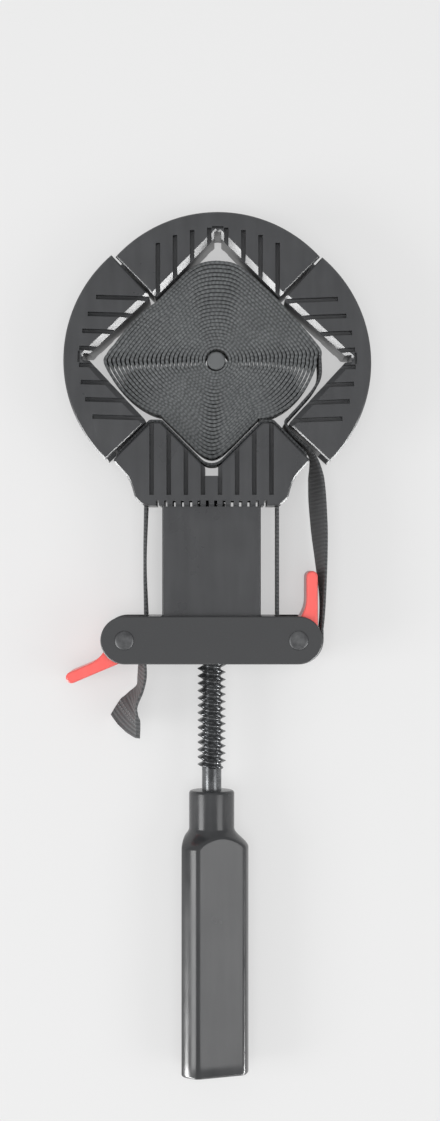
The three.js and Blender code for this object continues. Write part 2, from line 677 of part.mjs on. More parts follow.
// Six corners with a flat on top, which the pocket's roof keeps from turning
function hexagon(radius) {
  return Array.from({ length: 6 }, (_, k) => {
    const angle = (k * Math.PI) / 3;
    return [radius * Math.cos(angle), radius * Math.sin(angle)];
  });
}

function spindleNut() {
  const corner = NUT_FLATS / 2 / Math.cos(Math.PI / 6);
  const outline = hexagon(corner).map(([x, z]) => new THREE.Vector2(x, z));
  const prism = raised(outline, 0, NUT_LENGTH)
    .rotate([90, 0, 0])
    .translate([0, BAR_Y + NUT_LENGTH / 2, AXIS_HEIGHT]);
  const ends = [BAR_Y - NUT_LENGTH / 2, BAR_Y + NUT_LENGTH / 2];
  const chamfered = turned([
    [0, ends[0]],
    [corner - NUT_CHAMFER, ends[0]],
    [corner, ends[0] + NUT_CHAMFER],
    [corner, ends[1] - NUT_CHAMFER],
    [corner - NUT_CHAMFER, ends[1]],
    [0, ends[1]],
  ]);
  const bore = turned([
    [0, ends[0] - OVERRUN],
    [SPINDLE_RADIUS + SEAT_GAP, ends[0] - OVERRUN],
    [SPINDLE_RADIUS + SEAT_GAP, ends[1] + OVERRUN],
    [0, ends[1] + OVERRUN],
  ]);
  return piece("spindle_nut", toGeometry(prism.intersect(chamfered).subtract(bore)), BRIGHT_STEEL);
}

function pivotPin(name, x) {
  const top = BODY_HEIGHT + PIN_HEAD_RISE;
  const headStep = BODY_HEIGHT - PIN_HEAD_HEIGHT;
  const profile = [
    [0, SEAT_GAP],
    [PIN_HEAD_RADIUS, SEAT_GAP],
    [PIN_HEAD_RADIUS, PIN_HEAD_HEIGHT],
    [PIN_RADIUS, PIN_HEAD_HEIGHT],
    [PIN_RADIUS, headStep],
    [PIN_HEAD_RADIUS, headStep],
    [PIN_HEAD_RADIUS, top - PIN_DOME],
    [PIN_HEAD_RADIUS - PIN_DOME, top],
    [0, top],
  ];
  return piece(name, toGeometry(turnedUpright(profile, x, BAR_Y)), BRIGHT_STEEL);
}

// Outline of the left lever round its pin, with the arm along +X: the cam's radius falls from where
// it presses on the band when the lever is closed to where it faces the band when it is open
function leverOutline() {
  const armOut = LEVER_ARM_OFFSET + LEVER_ARM_THICKNESS / 2;
  const armIn = LEVER_ARM_OFFSET - LEVER_ARM_THICKNESS / 2;
  const closedAngle = 2 * Math.PI - CLOSED_DIRECTION;
  const openAngle = closedAngle + CAM_OPENING;
  const points = [];
  const tipRadius = LEVER_ARM_THICKNESS / 2;
  const tip = LEVER_REACH - tipRadius;
  const tipArc = new THREE.Path().absarc(tip, LEVER_ARM_OFFSET, tipRadius, -Math.PI / 2, Math.PI / 2);
  points.push(...tipArc.getPoints(ROUND_SIDES / 4));
  const [from, to] = CAM_ARC_SHARES.map((share) => 2 * Math.PI * share);
  for (let k = 0; k <= CAM_STEPS; k++) {
    const angle = from + ((to - from) * k) / CAM_STEPS;
    const ease = THREE.MathUtils.smoothstep(angle, closedAngle, openAngle);
    const rise = THREE.MathUtils.smoothstep(angle, from, closedAngle);
    const radius =
      angle < closedAngle ? armOut + (CAM_HIGH - armOut) * rise : CAM_HIGH + (CAM_LOW - CAM_HIGH) * ease;
    points.push(new THREE.Vector2(radius * Math.cos(angle), radius * Math.sin(angle)));
  }
  const [start, end] = LEVER_FILLET_SHARES.map((share) => share * LEVER_REACH);
  const hollow = new THREE.QuadraticBezierCurve(
    points.at(-1).clone(),
    new THREE.Vector2(start + armIn / 2, armIn),
    new THREE.Vector2(end, armIn),
  );
  points.push(...hollow.getPoints(ROUND_SIDES / 4).slice(1));
  return points;
}

function camLever(name, side) {
  const low = PLATE_THICKNESS + SEAT_GAP;
  const high = BODY_HEIGHT - PLATE_THICKNESS - SEAT_GAP;
  const hole = turnedUpright(
    [
      [0, low - OVERRUN],
      [PIN_RADIUS + SEAT_GAP, low - OVERRUN],
      [PIN_RADIUS + SEAT_GAP, high + OVERRUN],
      [0, high + OVERRUN],
    ],
    0,
    0,
  );
  let body = raised(leverOutline(), low, high, EDGE_CHAMFER).subtract(hole);
  const degrees = THREE.MathUtils.radToDeg(side < 0 ? CLOSED_DIRECTION : CLOSED_DIRECTION - CAM_OPENING);
  body = body.rotate([0, 0, degrees]);
  if (side > 0) body = body.mirror([1, 0, 0]);
  return piece(name, toGeometry(body.translate([side * PIN_X, BAR_Y, 0])), CORAL_PLASTIC);
}

function spindle() {
  const end = HANDLE_START - SPINDLE_TANG_LENGTH;
  const profile = [
    [0, SPINDLE_TIP],
    [SPINDLE_HEAD_RADIUS - 2 * SPINDLE_CHAMFER, SPINDLE_TIP],
    [SPINDLE_HEAD_RADIUS, SPINDLE_TIP - 2 * SPINDLE_CHAMFER],
    [SPINDLE_HEAD_RADIUS, NECK_START],
    [SPINDLE_NECK_RADIUS, NECK_START],
    [SPINDLE_NECK_RADIUS, NECK_END],
    [SPINDLE_RADIUS - SPINDLE_CHAMFER, NECK_END],
    [SPINDLE_RADIUS, NECK_END - SPINDLE_CHAMFER],
    [SPINDLE_RADIUS, SPINDLE_THREAD_END + SPINDLE_CHAMFER],
    [SPINDLE_RADIUS - SPINDLE_CHAMFER, SPINDLE_THREAD_END],
    [SPINDLE_TANG_RADIUS, SPINDLE_THREAD_END],
    [SPINDLE_TANG_RADIUS, end + SPINDLE_CHAMFER],
    [SPINDLE_TANG_RADIUS - SPINDLE_CHAMFER, end],
    [0, end],
  ];
  return piece("spindle", toGeometry(turned(profile).subtract(crossPinBore())), BLACKENED_STEEL);
}

function crossPinAt(radius, length) {
  const cylinder = new THREE.CylinderGeometry(radius, radius, length, ROUND_SIDES / 2);
  return toSolid(cylinder.rotateX(Math.PI / 2).translate(0, HANDLE_START - CROSS_PIN_PLACE, AXIS_HEIGHT));
}

function crossPinBore() {
  return crossPinAt(CROSS_PIN_RADIUS + SEAT_GAP, 2 * COLLAR_RADIUS + 2 * OVERRUN);
}

function handlePin() {
  const length = 2 * (COLLAR_RADIUS - SEAT_GAP);
  return piece("handle_pin", toGeometry(crossPinAt(CROSS_PIN_RADIUS, length)), BRIGHT_STEEL);
}

// A three-sided bar along the handle, whose flats lie a given distance from the axis
function threeFlats(distance, from, to) {
  const corners = Array.from({ length: 3 }, (_, k) => {
    const angle = GRIP_TURN + (k * 2 * Math.PI) / 3;
    return new THREE.Vector2(2 * distance * Math.cos(angle), 2 * distance * Math.sin(angle));
  });
  return raised(corners, 0, from - to)
    .rotate([90, 0, 0])
    .translate([0, from, AXIS_HEIGHT]);
}

function handle() {
  const end = HANDLE_START - HANDLE_LENGTH;
  const shoulder = HANDLE_START - COLLAR_LENGTH;
  const outline = [
    [0, HANDLE_START],
    [COLLAR_RADIUS - COLLAR_ROUND, HANDLE_START],
    [COLLAR_RADIUS, HANDLE_START - COLLAR_ROUND],
    ...SHOULDER_SHARES.map(([along, out]) => [
      COLLAR_RADIUS + out * (GRIP_RADIUS - COLLAR_RADIUS),
      shoulder - along * SHOULDER_LENGTH,
    ]),
    [GRIP_RADIUS, end + GRIP_END_ROUND],
    [GRIP_RADIUS - GRIP_END_ROUND, end],
    [0, end],
  ];
  const outer = turned(outline, GRIP_SIDES).intersect(threeFlats(GRIP_FLAT, HANDLE_START + OVERRUN, end - OVERRUN));
  const floor = HANDLE_START - HOLLOW_FLOOR;
  const inside = GRIP_RADIUS - GRIP_WALL;
  const hollow = turned(
    [
      [0, end - OVERRUN],
      [inside, end - OVERRUN],
      [inside, floor - GRIP_WALL],
      [inside - GRIP_WALL, floor],
      [0, floor],
    ],
    GRIP_SIDES,
  ).intersect(threeFlats(GRIP_FLAT - GRIP_WALL, floor + OVERRUN, end - 2 * OVERRUN));
  const tangEnd = HANDLE_START - SPINDLE_TANG_LENGTH - SEAT_GAP;
  const socket = turned([
    [0, tangEnd],
    [SPINDLE_TANG_RADIUS + SEAT_GAP, tangEnd],
    [SPINDLE_TANG_RADIUS + SEAT_GAP, HANDLE_START + OVERRUN],
    [0, HANDLE_START + OVERRUN],
  ]);
  const solid = outer.subtract(joined([hollow, socket, crossPinBore()]));
  return piece("handle", toGeometry(solid), BLACK_PLASTIC);
}

// The band drawn tight round the main jaw: up the left flank, round the arm, along the V, and back
function bandLoop() {
  const nose = [...noseCorner(0, LOOP_FACE), NOSE_RADIUS + BAND_REACH];
  const half = [
    [0, LOOP_V, LOOP_CORNER_RADIUS],
    [LOOP_TIP - LOOP_V, LOOP_TIP, LOOP_TIP_RADIUS],
    [LOOP_FACE - LOOP_TIP, LOOP_TIP, LOOP_TIP_RADIUS],
    nose,
    [STRAND_X, MAIN_BOTTOM],
  ];
  const left = half.slice(1).map(([x, y, r]) => [-x, y, r]);
  const path = filleted([...left.reverse(), ...half], false);
  return piece("band_loop", bandSolid(uprightStations(path, AXIS_HEIGHT), () => BAND_THICKNESS), WOVEN_BAND);
}

function strand(name, side) {
  const ends = [MAIN_BOTTOM - SEAT_GAP, BAR_Y + BAR_RADIUS + SEAT_GAP];
  const path = ends.map((y) => new THREE.Vector2(side * STRAND_X, y));
  return piece(name, bandSolid(uprightStations(path, AXIS_HEIGHT), () => BAND_THICKNESS), WOVEN_BAND);
}

// The clamped stretch under the left lever and the free tail with its folded hem
function bandTail() {
  const entry = new THREE.Vector2(-STRAND_X, BAR_Y + BAR_RADIUS);
  const exit = new THREE.Vector2(-STRAND_X, BAR_Y - BAR_RADIUS + SEAT_GAP);
  const straight = uprightStations([entry, exit], AXIS_HEIGHT);
  const start = [-STRAND_X, BAR_Y - TAIL_START];
  const end = start.map((place, k) => place + TAIL_SPAN[k]);
  const free = leaningStations(routeBetween(start, end, TAIL_SHARES), TAIL_STEPS);
  const hem = (free.at(-1).at.distanceTo(free[0].at) - HEM_LENGTH) / free.at(-1).at.distanceTo(free[0].at);
  const stations = [...straight, ...free.slice(1)];
  const hemFrom = straight.length + Math.round(hem * TAIL_STEPS) - 1;
  const thickness = (i) => (i >= hemFrom ? HEM_THICKNESS : BAND_THICKNESS);
  return piece("band_tail", bandSolid(facingAlike(stations), thickness), WOVEN_BAND);
}

// Rows of shares as a route between two places
function routeBetween(start, end, shares) {
  return shares.map(([alongX, alongY, leanX, leanY, drop]) => [
    THREE.MathUtils.lerp(start[0], end[0], alongX),
    THREE.MathUtils.lerp(start[1], end[1], alongY),
    leanX * BAND_WIDTH,
    leanY * BAND_WIDTH,
    AXIS_HEIGHT - drop * BAND_WIDTH,
  ]);
}

// Stations whose faces all look to the same side as the first one's
function facingAlike(stations) {
  stations.forEach((station, i) => {
    if (i > 0 && station.out.dot(stations[i - 1].out) < 0) station.out.negate();
    if (i > 0 && station.up.dot(stations[i - 1].up) < 0) station.up.negate();
  });
  return stations;
}

// The stretch through the open right lever and round the lever's head to the crossbar's end
function bandWrap() {
  const path = [new THREE.Vector2(STRAND_X, BAR_Y + BAR_RADIUS)];
  const inner = PIN_X - STRAND_X;
  const outer = BAR_RADIUS;
  const steps = ROUND_SIDES / 2;
  for (let k = 0; k <= steps; k++) {
    const angle = Math.PI + (Math.PI * k) / steps;
    const radius = inner + ((outer - inner) * k) / steps;
    path.push(new THREE.Vector2(PIN_X + radius * Math.cos(angle), BAR_Y + radius * Math.sin(angle)));
  }
  path.push(new THREE.Vector2(BAR_HALF, BAR_Y + RUN_START - SEAT_GAP));
  return piece("band_wrap", bandSolid(uprightStations(path, AXIS_HEIGHT), () => BAND_THICKNESS), WOVEN_BAND);
}

// The middle line of the coil at a share of its length, from its outer end inwards
function coilPoint(share) {
  const angle = share * COIL_TURNS * 2 * Math.PI;
  const left = 1 - share;
  const inner = COIL_CORE_RADIUS + BAND_REACH;
  const u = inner + (COIL_HALF_U - inner) * left;
  const v = inner + (COIL_HALF_V - inner) * left;
  const square = COIL_CORNER_POWERS.reduce((sum, power, k) => {
    const facing = Math.max(0, Math.cos(angle - (k * Math.PI) / 2));
    return sum + power * facing ** 2;
  }, 0);
  const power = 2 + (square - 2) * left ** COIL_EASE;
  const [a, b] = [Math.cos(angle + Math.PI / 4), Math.sin(angle + Math.PI / 4)];
  const reach = (Math.abs(a / u) ** power + Math.abs(b / v) ** power) ** (-1 / power);
  return new THREE.Vector2(
    THREE.MathUtils.lerp(COIL_CORE_CENTRE[0], COIL_CENTRE[0], left) + reach * Math.cos(angle),
    THREE.MathUtils.lerp(COIL_CORE_CENTRE[1], COIL_CENTRE[1], left) + reach * Math.sin(angle),
  );
}

const COIL_HEIGHT = COIL_LIFT + BAND_WIDTH / 2;

function coilPath() {
  const count = COIL_TURNS * COIL_STEPS;
  return Array.from({ length: count + 1 }, (_, k) => coilPoint(k / count));
}

// The least clear space between one turn and the next
function coilLeastGap(path) {
  let least = Infinity;
  const line = new THREE.Line3();
  const near = new THREE.Vector3();
  const flat = path.map(({ x, y }) => new THREE.Vector3(x, y, 0));
  for (let i = 0; i < flat.length; i++) {
    for (let j = i + COIL_STEPS / 2; j < Math.min(i + 2 * COIL_STEPS, flat.length - 1); j++) {
      line.set(flat[j], flat[j + 1]).closestPointToPoint(flat[i], true, near);
      least = Math.min(least, near.distanceTo(flat[i]) - COIL_THICKNESS);
    }
  }
  return least;
}

function bandCoil() {
  const path = coilPath();
  const gap = coilLeastGap(path);
  console.log(`coil: ${COIL_TURNS} turns, least gap to itself ${gap.toFixed(2)} mm`);
  if (gap < COIL_LEAST_GAP) console.log("coil: its turns lie too close");
  return piece("band_coil", bandSolid(uprightStations(path, COIL_HEIGHT), () => COIL_THICKNESS), WOVEN_BAND);
}

function coilCore() {
  const [x, y] = COIL_CORE_CENTRE;
  const top = COIL_LIFT + BAND_WIDTH;
  const profile = [
    [0, COIL_LIFT],
    [COIL_CORE_RADIUS, COIL_LIFT],
    [COIL_CORE_RADIUS, top - CORE_CHAMFER],
    [COIL_CORE_RADIUS - CORE_CHAMFER, top],
    [0, top],
  ];
  return piece("coil_core", toGeometry(turnedUpright(profile, x, y, ROUND_SIDES / 2)), BLACK_PLASTIC);
}

// The run's route as far as the coil: up beside the main jaw, through the gap between the main jaw's
// band and the right jaw, round the right jaw's tip, and along its face
function runRoute() {
  const toTip = new THREE.Vector2(1, 0).rotateAround(new THREE.Vector2(), RIGHT_JAW_TURN - Math.PI / 4);
  const inward = new THREE.Vector2(toTip.y, -toTip.x);
  const tip = new THREE.Vector2(...RIGHT_JAW_CORNER).addScaledVector(toTip, JAW_FACE);
  const height = (drop) => AXIS_HEIGHT - drop * BAND_WIDTH;
  const upright = ({ x, y }, drop) => [x, y, 0, 0, height(drop)];
  const beside = (along, off) => tip.clone().addScaledVector(toTip, along).addScaledVector(inward, off);
  // A place in the gap, as far from the band on the main jaw as from the right jaw's joint face
  const bandSide = LOOP_FACE + BAND_THICKNESS * HALF_ROOT; // x + y on the band's outer side
  const inGap = (share) => {
    const reach = (MAIN_NOSE + RUN_NOSE_GAP - tip.x) / inward.x;
    const joint = beside(0, (1 - share) * reach);
    const half = (joint.x + joint.y - bandSide) / 4;
    return new THREE.Vector2(joint.x - half, joint.y - half);
  };
  const gate = inGap(0);
  return [
    ...routeBetween([BAR_HALF, BAR_Y + RUN_START], [gate.x, gate.y], RUN_FREE_SHARES),
    ...RUN_GAP_SHARES.map(([share, drop]) => upright(inGap(share), drop)),
    ...RUN_TIP_SHARES.map(([along, off, drop]) => upright(beside(along * BAND_REACH, off * BAND_REACH), drop)),
    ...RUN_FACE_SHARES.map(([share, off, drop]) => upright(beside(-share * JAW_FACE, off * BAND_REACH), drop)),
  ];
}

// The free run from the crossbar's end up between the jaws, round the right jaw's tip to the coil
function bandRun() {
  const coil = coilPath();
  const tangent = coil[0].clone().sub(coil[1]).normalize();
  const meet = coil[0].clone().addScaledVector(tangent, SEAT_GAP + COIL_THICKNESS / 2);
  const route = [...runRoute(), [meet.x, meet.y, 0, 0, COIL_HEIGHT]];
  const stations = facingAlike(leaningStations(route, RUN_STEPS));
  return piece("band_run", bandSolid(stations, () => BAND_THICKNESS), WOVEN_BAND);
}

const clamp = new THREE.Group();
clamp.add(
  mainJaw(),
  guideTongue(),
  thrustPad(),
  keeperPlate(),
  ...looseJaws(),
  barPlate("crossbar_top_plate", BODY_HEIGHT - PLATE_THICKNESS),
  barPlate("crossbar_bottom_plate", 0),
  barBlock(),
  spindleNut(),
  pivotPin("pivot_pin_left", -PIN_X),
  pivotPin("pivot_pin_right", PIN_X),
  camLever("lever_left", -1),
  camLever("lever_right", 1),
  spindle(),
  handle(),
  handlePin(),
  bandLoop(),
  strand("band_strand_left", -1),
  strand("band_strand_right", 1),
  bandTail(),
  bandWrap(),
  bandRun(),
  bandCoil(),
  coilCore(),
);

export default clamp;
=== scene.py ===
# Dresses the band clamp over its fixed frame: moulded jaws, woven band, threaded spindle and grip.
# Metres, +Z up, the spindle along Y. Sizes are named in millimetres and turned into metres by MM.
import json
import math

import bmesh
import bpy
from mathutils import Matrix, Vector, noise


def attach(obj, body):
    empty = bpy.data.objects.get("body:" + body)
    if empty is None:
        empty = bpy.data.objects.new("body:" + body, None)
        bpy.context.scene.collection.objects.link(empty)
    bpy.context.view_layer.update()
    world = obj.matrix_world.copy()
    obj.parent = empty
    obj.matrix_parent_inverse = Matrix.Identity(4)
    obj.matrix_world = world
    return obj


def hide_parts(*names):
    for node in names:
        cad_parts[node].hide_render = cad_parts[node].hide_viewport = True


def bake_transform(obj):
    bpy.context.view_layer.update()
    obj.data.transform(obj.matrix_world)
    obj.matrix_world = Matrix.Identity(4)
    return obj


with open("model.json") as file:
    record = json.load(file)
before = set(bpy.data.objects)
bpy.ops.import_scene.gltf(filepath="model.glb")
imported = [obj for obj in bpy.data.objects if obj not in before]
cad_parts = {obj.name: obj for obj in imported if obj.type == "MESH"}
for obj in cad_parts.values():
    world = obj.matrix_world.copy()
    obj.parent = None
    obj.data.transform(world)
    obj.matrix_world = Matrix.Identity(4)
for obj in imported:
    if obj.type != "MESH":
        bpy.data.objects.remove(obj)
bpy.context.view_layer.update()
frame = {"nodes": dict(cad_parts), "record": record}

MM = 0.001
BODIES = frame["record"]["behaviour"]["bodies"]
BODY_OF = {node: body for body, nodes in BODIES.items() for node in nodes}

# Sizes shared with the clamp's construction, in millimetres
AXIS_HEIGHT = 16
SEAT_GAP = 0.3
BAND_WIDTH = 25
BAND_THICKNESS = 1
BAND_REACH = SEAT_GAP + BAND_THICKNESS / 2
STRAND_X = 26.6
BAR_Y = -62.2
BAR_HALF = 44.5
BAR_RADIUS = 9.6
PIN_X = BAR_HALF - BAR_RADIUS
MAIN_BOTTOM = -8.2
MAIN_CORNER = 4.6
MAIN_TIP = 25.1
MAIN_FACE = 49.5
FLANK_LEAN = math.radians(30)
LOOP_CORNER_RADIUS = 6.5
LOOP_TIP_RADIUS = 1.4
NOSE_RADIUS = 1.5

# Colours as linear shares of red, green and blue
NYLON_BLACK = (0.04, 0.041, 0.0435, 1)
NYLON_SHEEN = (0.053, 0.0545, 0.0575, 1)
GRIP_BLACK = (0.03, 0.031, 0.033, 1)
GRIP_SHEEN = (0.04, 0.041, 0.043, 1)
COAT_BLACK = (0.04, 0.041, 0.043, 1)
COAT_DUST = (0.058, 0.059, 0.062, 1)
# The webbing's darkest yarn, which also serves as painted shade in the grooves between its ribs
YARN_DARK_AND_GROOVE_SHADE = (0.037, 0.039, 0.041, 1)
YARN_LIGHT = (0.096, 0.099, 0.103, 1)
EDGE_DARK = (0.046, 0.049, 0.051, 1)
EDGE_LIGHT = (0.145, 0.152, 0.155, 1)
CORAL = (0.81, 0.134, 0.121, 1)
CORAL_DEEP = (0.84, 0.112, 0.1, 1)
RIVET_BLACK = (0.05, 0.051, 0.054, 1)
RIVET_WORN = (0.105, 0.107, 0.11, 1)
CORE_GREY = (0.1, 0.105, 0.108, 1)
CORE_PALE = (0.13, 0.135, 0.138, 1)
OXIDE_BLACK = (0.07, 0.072, 0.075, 1)
OXIDE_WORN = (0.16, 0.165, 0.17, 1)
ZINC = (0.4, 0.41, 0.42, 1)
ZINC_DULL = (0.27, 0.28, 0.29, 1)
STITCH_GREY = (0.42, 0.43, 0.44, 1)
FLOOR_WHITE = (0.79, 0.79, 0.79, 1)


def put(tree, kind, settings=None, **inputs):
    """A new node with its settings and inputs; an input is a value or another node's output."""
    node = tree.nodes.new(kind)
    for name, value in (settings or {}).items():
        setattr(node, name, value)
    give(tree, node, **inputs)
    return node


def give(tree, node, **inputs):
    """Sets a node's inputs by their names, with _ for a space."""
    for name, value in inputs.items():
        connect(tree, node.inputs[name.replace("_", " ")], value)


def connect(tree, socket, value):
    if isinstance(value, bpy.types.NodeSocket):
        tree.links.new(value, socket)
    else:
        socket.default_value = value


def maths(tree, operation, *values):
    node = tree.nodes.new("ShaderNodeMath")
    node.operation = operation
    for socket, value in zip(node.inputs, values):
        connect(tree, socket, value)
    return node.outputs[0]


def blank_material(name):
    material = bpy.data.materials.new(name)
    material.use_nodes = True
    shader = material.node_tree.nodes["Principled BSDF"]
    return material, material.node_tree, shader


def colour_mix(tree, share, low, high):
    node = put(tree, "ShaderNodeMix", {"data_type": "RGBA"})
    connect(tree, node.inputs[0], share)
    connect(tree, node.inputs[6], low)
    connect(tree, node.inputs[7], high)
    return node.outputs[2]


def remap(tree, value, low, high, start=0.0, end=1.0):
    ends = {"From_Min": low, "From_Max": high, "To_Min": start, "To_Max": end}
    return put(tree, "ShaderNodeMapRange", Value=value, **ends).outputs[0]


NOISE_LOW = 0.3  # what the noise seldom falls below
NOISE_HIGH = 0.7  # and what it seldom passes


def spread(tree, noisy, start, end):
    """Noise turned into values that go from start to end."""
    return remap(tree, noisy, NOISE_LOW, NOISE_HIGH, start, end)


def own_place(tree):
    return put(tree, "ShaderNodeTexCoord").outputs["Object"]


def lumps(tree, place, **inputs):
    """Noise at a place. Its scale is in lumps to the metre where the place is in metres."""
    return put(tree, "ShaderNodeTexNoise", Vector=place, **inputs).outputs["Fac"]


def stretched(tree, place, scale):
    """A place with its own scale along each axis, in lumps to the metre."""
    return put(tree, "ShaderNodeMapping", Vector=place, Scale=scale).outputs[0]


def bumped(tree, shader, height, strength, depth):
    """Gives the surface a relief as deep as depth, in millimetres."""
    bump = put(tree, "ShaderNodeBump", Height=height, Strength=strength, Distance=depth * MM)
    give(tree, shader, Normal=bump.outputs[0])


def moulded_nylon(name, dark, light, roughness):
    """Injection-moulded nylon: satin grain, soft flow marks and a little unevenness in its gloss."""
    material, tree, shader = blank_material(name)
    place = own_place(tree)
    cloud = lumps(tree, place, Scale=38.0, Detail=4.0, Roughness=0.6)
    flow = lumps(tree, stretched(tree, place, (260.0, 30.0, 90.0)), Scale=1.0, Detail=3.0)
    grain = lumps(tree, place, Scale=2600.0, Detail=2.0)
    mixed = maths(tree, "MULTIPLY_ADD", flow, 0.5, maths(tree, "MULTIPLY", cloud, 0.5))
    colour = colour_mix(tree, remap(tree, mixed, 0.36, 0.66), dark, light)
    gloss = spread(tree, cloud, roughness - 0.05, roughness + 0.07)
    give(tree, shader, Base_Color=colour, Roughness=gloss)
    bumped(tree, shader, grain, strength=0.12, depth=0.04)
    return material


def powder_coat():
    """Powder-coated plate: a fine orange peel with a few paler specks."""
    material, tree, shader = blank_material("powder_coat")
    place = own_place(tree)
    peel = lumps(tree, place, Scale=1500.0, Detail=3.0, Roughness=0.55)
    cloud = lumps(tree, place, Scale=60.0, Detail=5.0, Roughness=0.65)
    specks = maths(tree, "MULTIPLY", remap(tree, peel, 0.58, 0.72), remap(tree, cloud, 0.35, 0.7))
    colour = colour_mix(tree, specks, COAT_BLACK, COAT_DUST)
    give(tree, shader, Base_Color=colour, Roughness=spread(tree, cloud, 0.4, 0.52))
    bumped(tree, shader, peel, strength=0.35, depth=0.08)
    return material


def steel(name, bright, dull, metallic, roughness):
    """Turned or stamped steel: fine marks round the piece, and duller patches."""
    material, tree, shader = blank_material(name)
    place = own_place(tree)
    patch = lumps(tree, place, Scale=220.0, Detail=5.0, Roughness=0.6)
    marks = lumps(tree, stretched(tree, place, (400.0, 3200.0, 400.0)), Scale=1.0, Detail=2.0)
    colour = colour_mix(tree, remap(tree, patch, 0.38, 0.66), dull, bright)
    gloss = spread(tree, patch, roughness + 0.1, roughness - 0.04)
    give(tree, shader, Base_Color=colour, Roughness=gloss, Metallic=metallic)
    bumped(tree, shader, marks, strength=0.2, depth=0.03)
    return material


# The webbing's weave, in millimetres
RIB_PITCH = 1.6
COLUMN_PITCH = 2.1
DOT_PITCH = 1.5  # of the weft loops on its edge


def phase(tree, place, pitch):
    """The angle of a wave with a pitch in millimetres, at a place in metres."""
    return maths(tree, "MULTIPLY", place, 2 * math.pi / (pitch * MM))


def own_cloth(tree):
    """Metres across and along the webbing, from its UV map."""
    flat = put(tree, "ShaderNodeSeparateXYZ", Vector=put(tree, "ShaderNodeUVMap").outputs[0])
    return flat.outputs["X"], flat.outputs["Y"]


def woven_webbing():
    """The webbing's face: ribs of weft over columns of warp, worn a little, with painted shade in its
    grooves.
    """
    material, tree, shader = blank_material("woven_webbing")
    across, along = own_cloth(tree)
    columns = maths(tree, "SINE", phase(tree, across, COLUMN_PITCH))
    lean = maths(tree, "MULTIPLY", columns, 0.2)
    rib = maths(tree, "SINE", maths(tree, "ADD", phase(tree, along, RIB_PITCH), lean))
    cords = maths(tree, "MULTIPLY", maths(tree, "ABSOLUTE", columns), 0.03)
    height = maths(tree, "ADD", maths(tree, "MULTIPLY_ADD", rib, 0.36, 0.5), cords)
    place = own_place(tree)
    fuzz = lumps(tree, place, Scale=2400.0, Detail=3.0)
    wear = remap(tree, lumps(tree, place, Scale=55.0, Detail=4.0), 0.3, 0.75, 0.55, 1.0)
    # Painted shade and highlight: grooves between ribs darker, rib tops paler, by the ribs' height;
    # wear and fuzz vary it at random
    share = maths(tree, "MULTIPLY", remap(tree, height, 0.25, 0.95), wear)
    share = maths(tree, "MULTIPLY", share, spread(tree, fuzz, 0.6, 1.1))
    give(tree, shader, Base_Color=colour_mix(tree, share, YARN_DARK_AND_GROOVE_SHADE, YARN_LIGHT))
    give(tree, shader, Roughness=0.72, Sheen_Weight=0.1, Sheen_Roughness=0.5)
    relief = maths(tree, "MULTIPLY_ADD", fuzz, 0.2, height)
    bumped(tree, shader, relief, strength=0.8, depth=0.25)
    return material


def wound_edges():
    """The band's edges lying side by side in the coil: small weft loops, each a paler dot."""
    material, tree, shader = blank_material("wound_edges")
    _, along = own_cloth(tree)
    place = own_place(tree)
    loops = maths(tree, "COSINE", phase(tree, along, DOT_PITCH))
    loops = maths(tree, "MULTIPLY_ADD", loops, 0.5, 0.5)
    speckle = lumps(tree, place, Scale=850.0, Detail=2.0)
    patch = lumps(tree, place, Scale=90.0, Detail=3.0)
    share = maths(tree, "MULTIPLY_ADD", loops, 0.6, spread(tree, speckle, 0.0, 0.4))
    share = maths(tree, "MULTIPLY", share, spread(tree, patch, 0.75, 1.05))
    give(tree, shader, Base_Color=colour_mix(tree, share, EDGE_DARK, EDGE_LIGHT))
    give(tree, shader, Roughness=0.68, Sheen_Weight=0.2, Sheen_Roughness=0.5)
    fuzz = lumps(tree, place, Scale=2600.0, Detail=2.0)
    bumped(tree, shader, maths(tree, "ADD", fuzz, speckle), strength=0.5, depth=0.2)
    return material


def stitch_thread():
    """Sewing thread, lighter and darker along its twist."""
    material, tree, shader = blank_material("stitch_thread")
    twist = lumps(tree, own_place(tree), Scale=3000.0)
    colour = colour_mix(tree, twist, YARN_LIGHT, STITCH_GREY)
    give(tree, shader, Base_Color=colour, Roughness=0.6)
    return material


FLOOR_GLOW = 0.6  # how much of the floor's look is its own plain white


def pale_floor():
    """A floor that keeps the shadow and looks nearly white, to the eye and in gloss or glass."""
    material, tree, shader = blank_material("pale_floor")
    give(tree, shader, Base_Color=FLOOR_WHITE, Roughness=0.85)
    ray = put(tree, "ShaderNodeLightPath").outputs
    seen = maths(tree, "MAXIMUM", ray["Is Camera Ray"], ray["Is Glossy Ray"])
    seen = maths(tree, "MAXIMUM", seen, ray["Is Transmission Ray"])
    glow = put(tree, "ShaderNodeEmission", Color=FLOOR_WHITE, Strength=1.0)
    blend = tree.nodes.new("ShaderNodeMixShader")
    connect(tree, blend.inputs[0], maths(tree, "MULTIPLY", seen, FLOOR_GLOW))
    connect(tree, blend.inputs[1], shader.outputs[0])
    connect(tree, blend.inputs[2], glow.outputs[0])
    connect(tree, tree.nodes["Material Output"].inputs["Surface"], blend.outputs[0])
    return material


NYLON = moulded_nylon("black_nylon", NYLON_BLACK, NYLON_SHEEN, 0.3)
GRIP_NYLON = moulded_nylon("grip_nylon", GRIP_BLACK, GRIP_SHEEN, 0.22)
CORAL_NYLON = moulded_nylon("coral_nylon", CORAL_DEEP, CORAL, 0.3)
COAT = powder_coat()
OXIDE = steel("black_oxide_steel", OXIDE_WORN, OXIDE_BLACK, 0.75, 0.24)
RIVET = steel("rivet_steel", RIVET_WORN, RIVET_BLACK, 0.35, 0.42)
CORE_NYLON = moulded_nylon("core_nylon", CORE_GREY, CORE_PALE, 0.4)
ZINC_STEEL = steel("zinc_steel", ZINC, ZINC_DULL, 1.0, 0.28)
WEBBING = woven_webbing()
WOUND_EDGES = wound_edges()
THREAD = stitch_thread()
FLOOR = pale_floor()


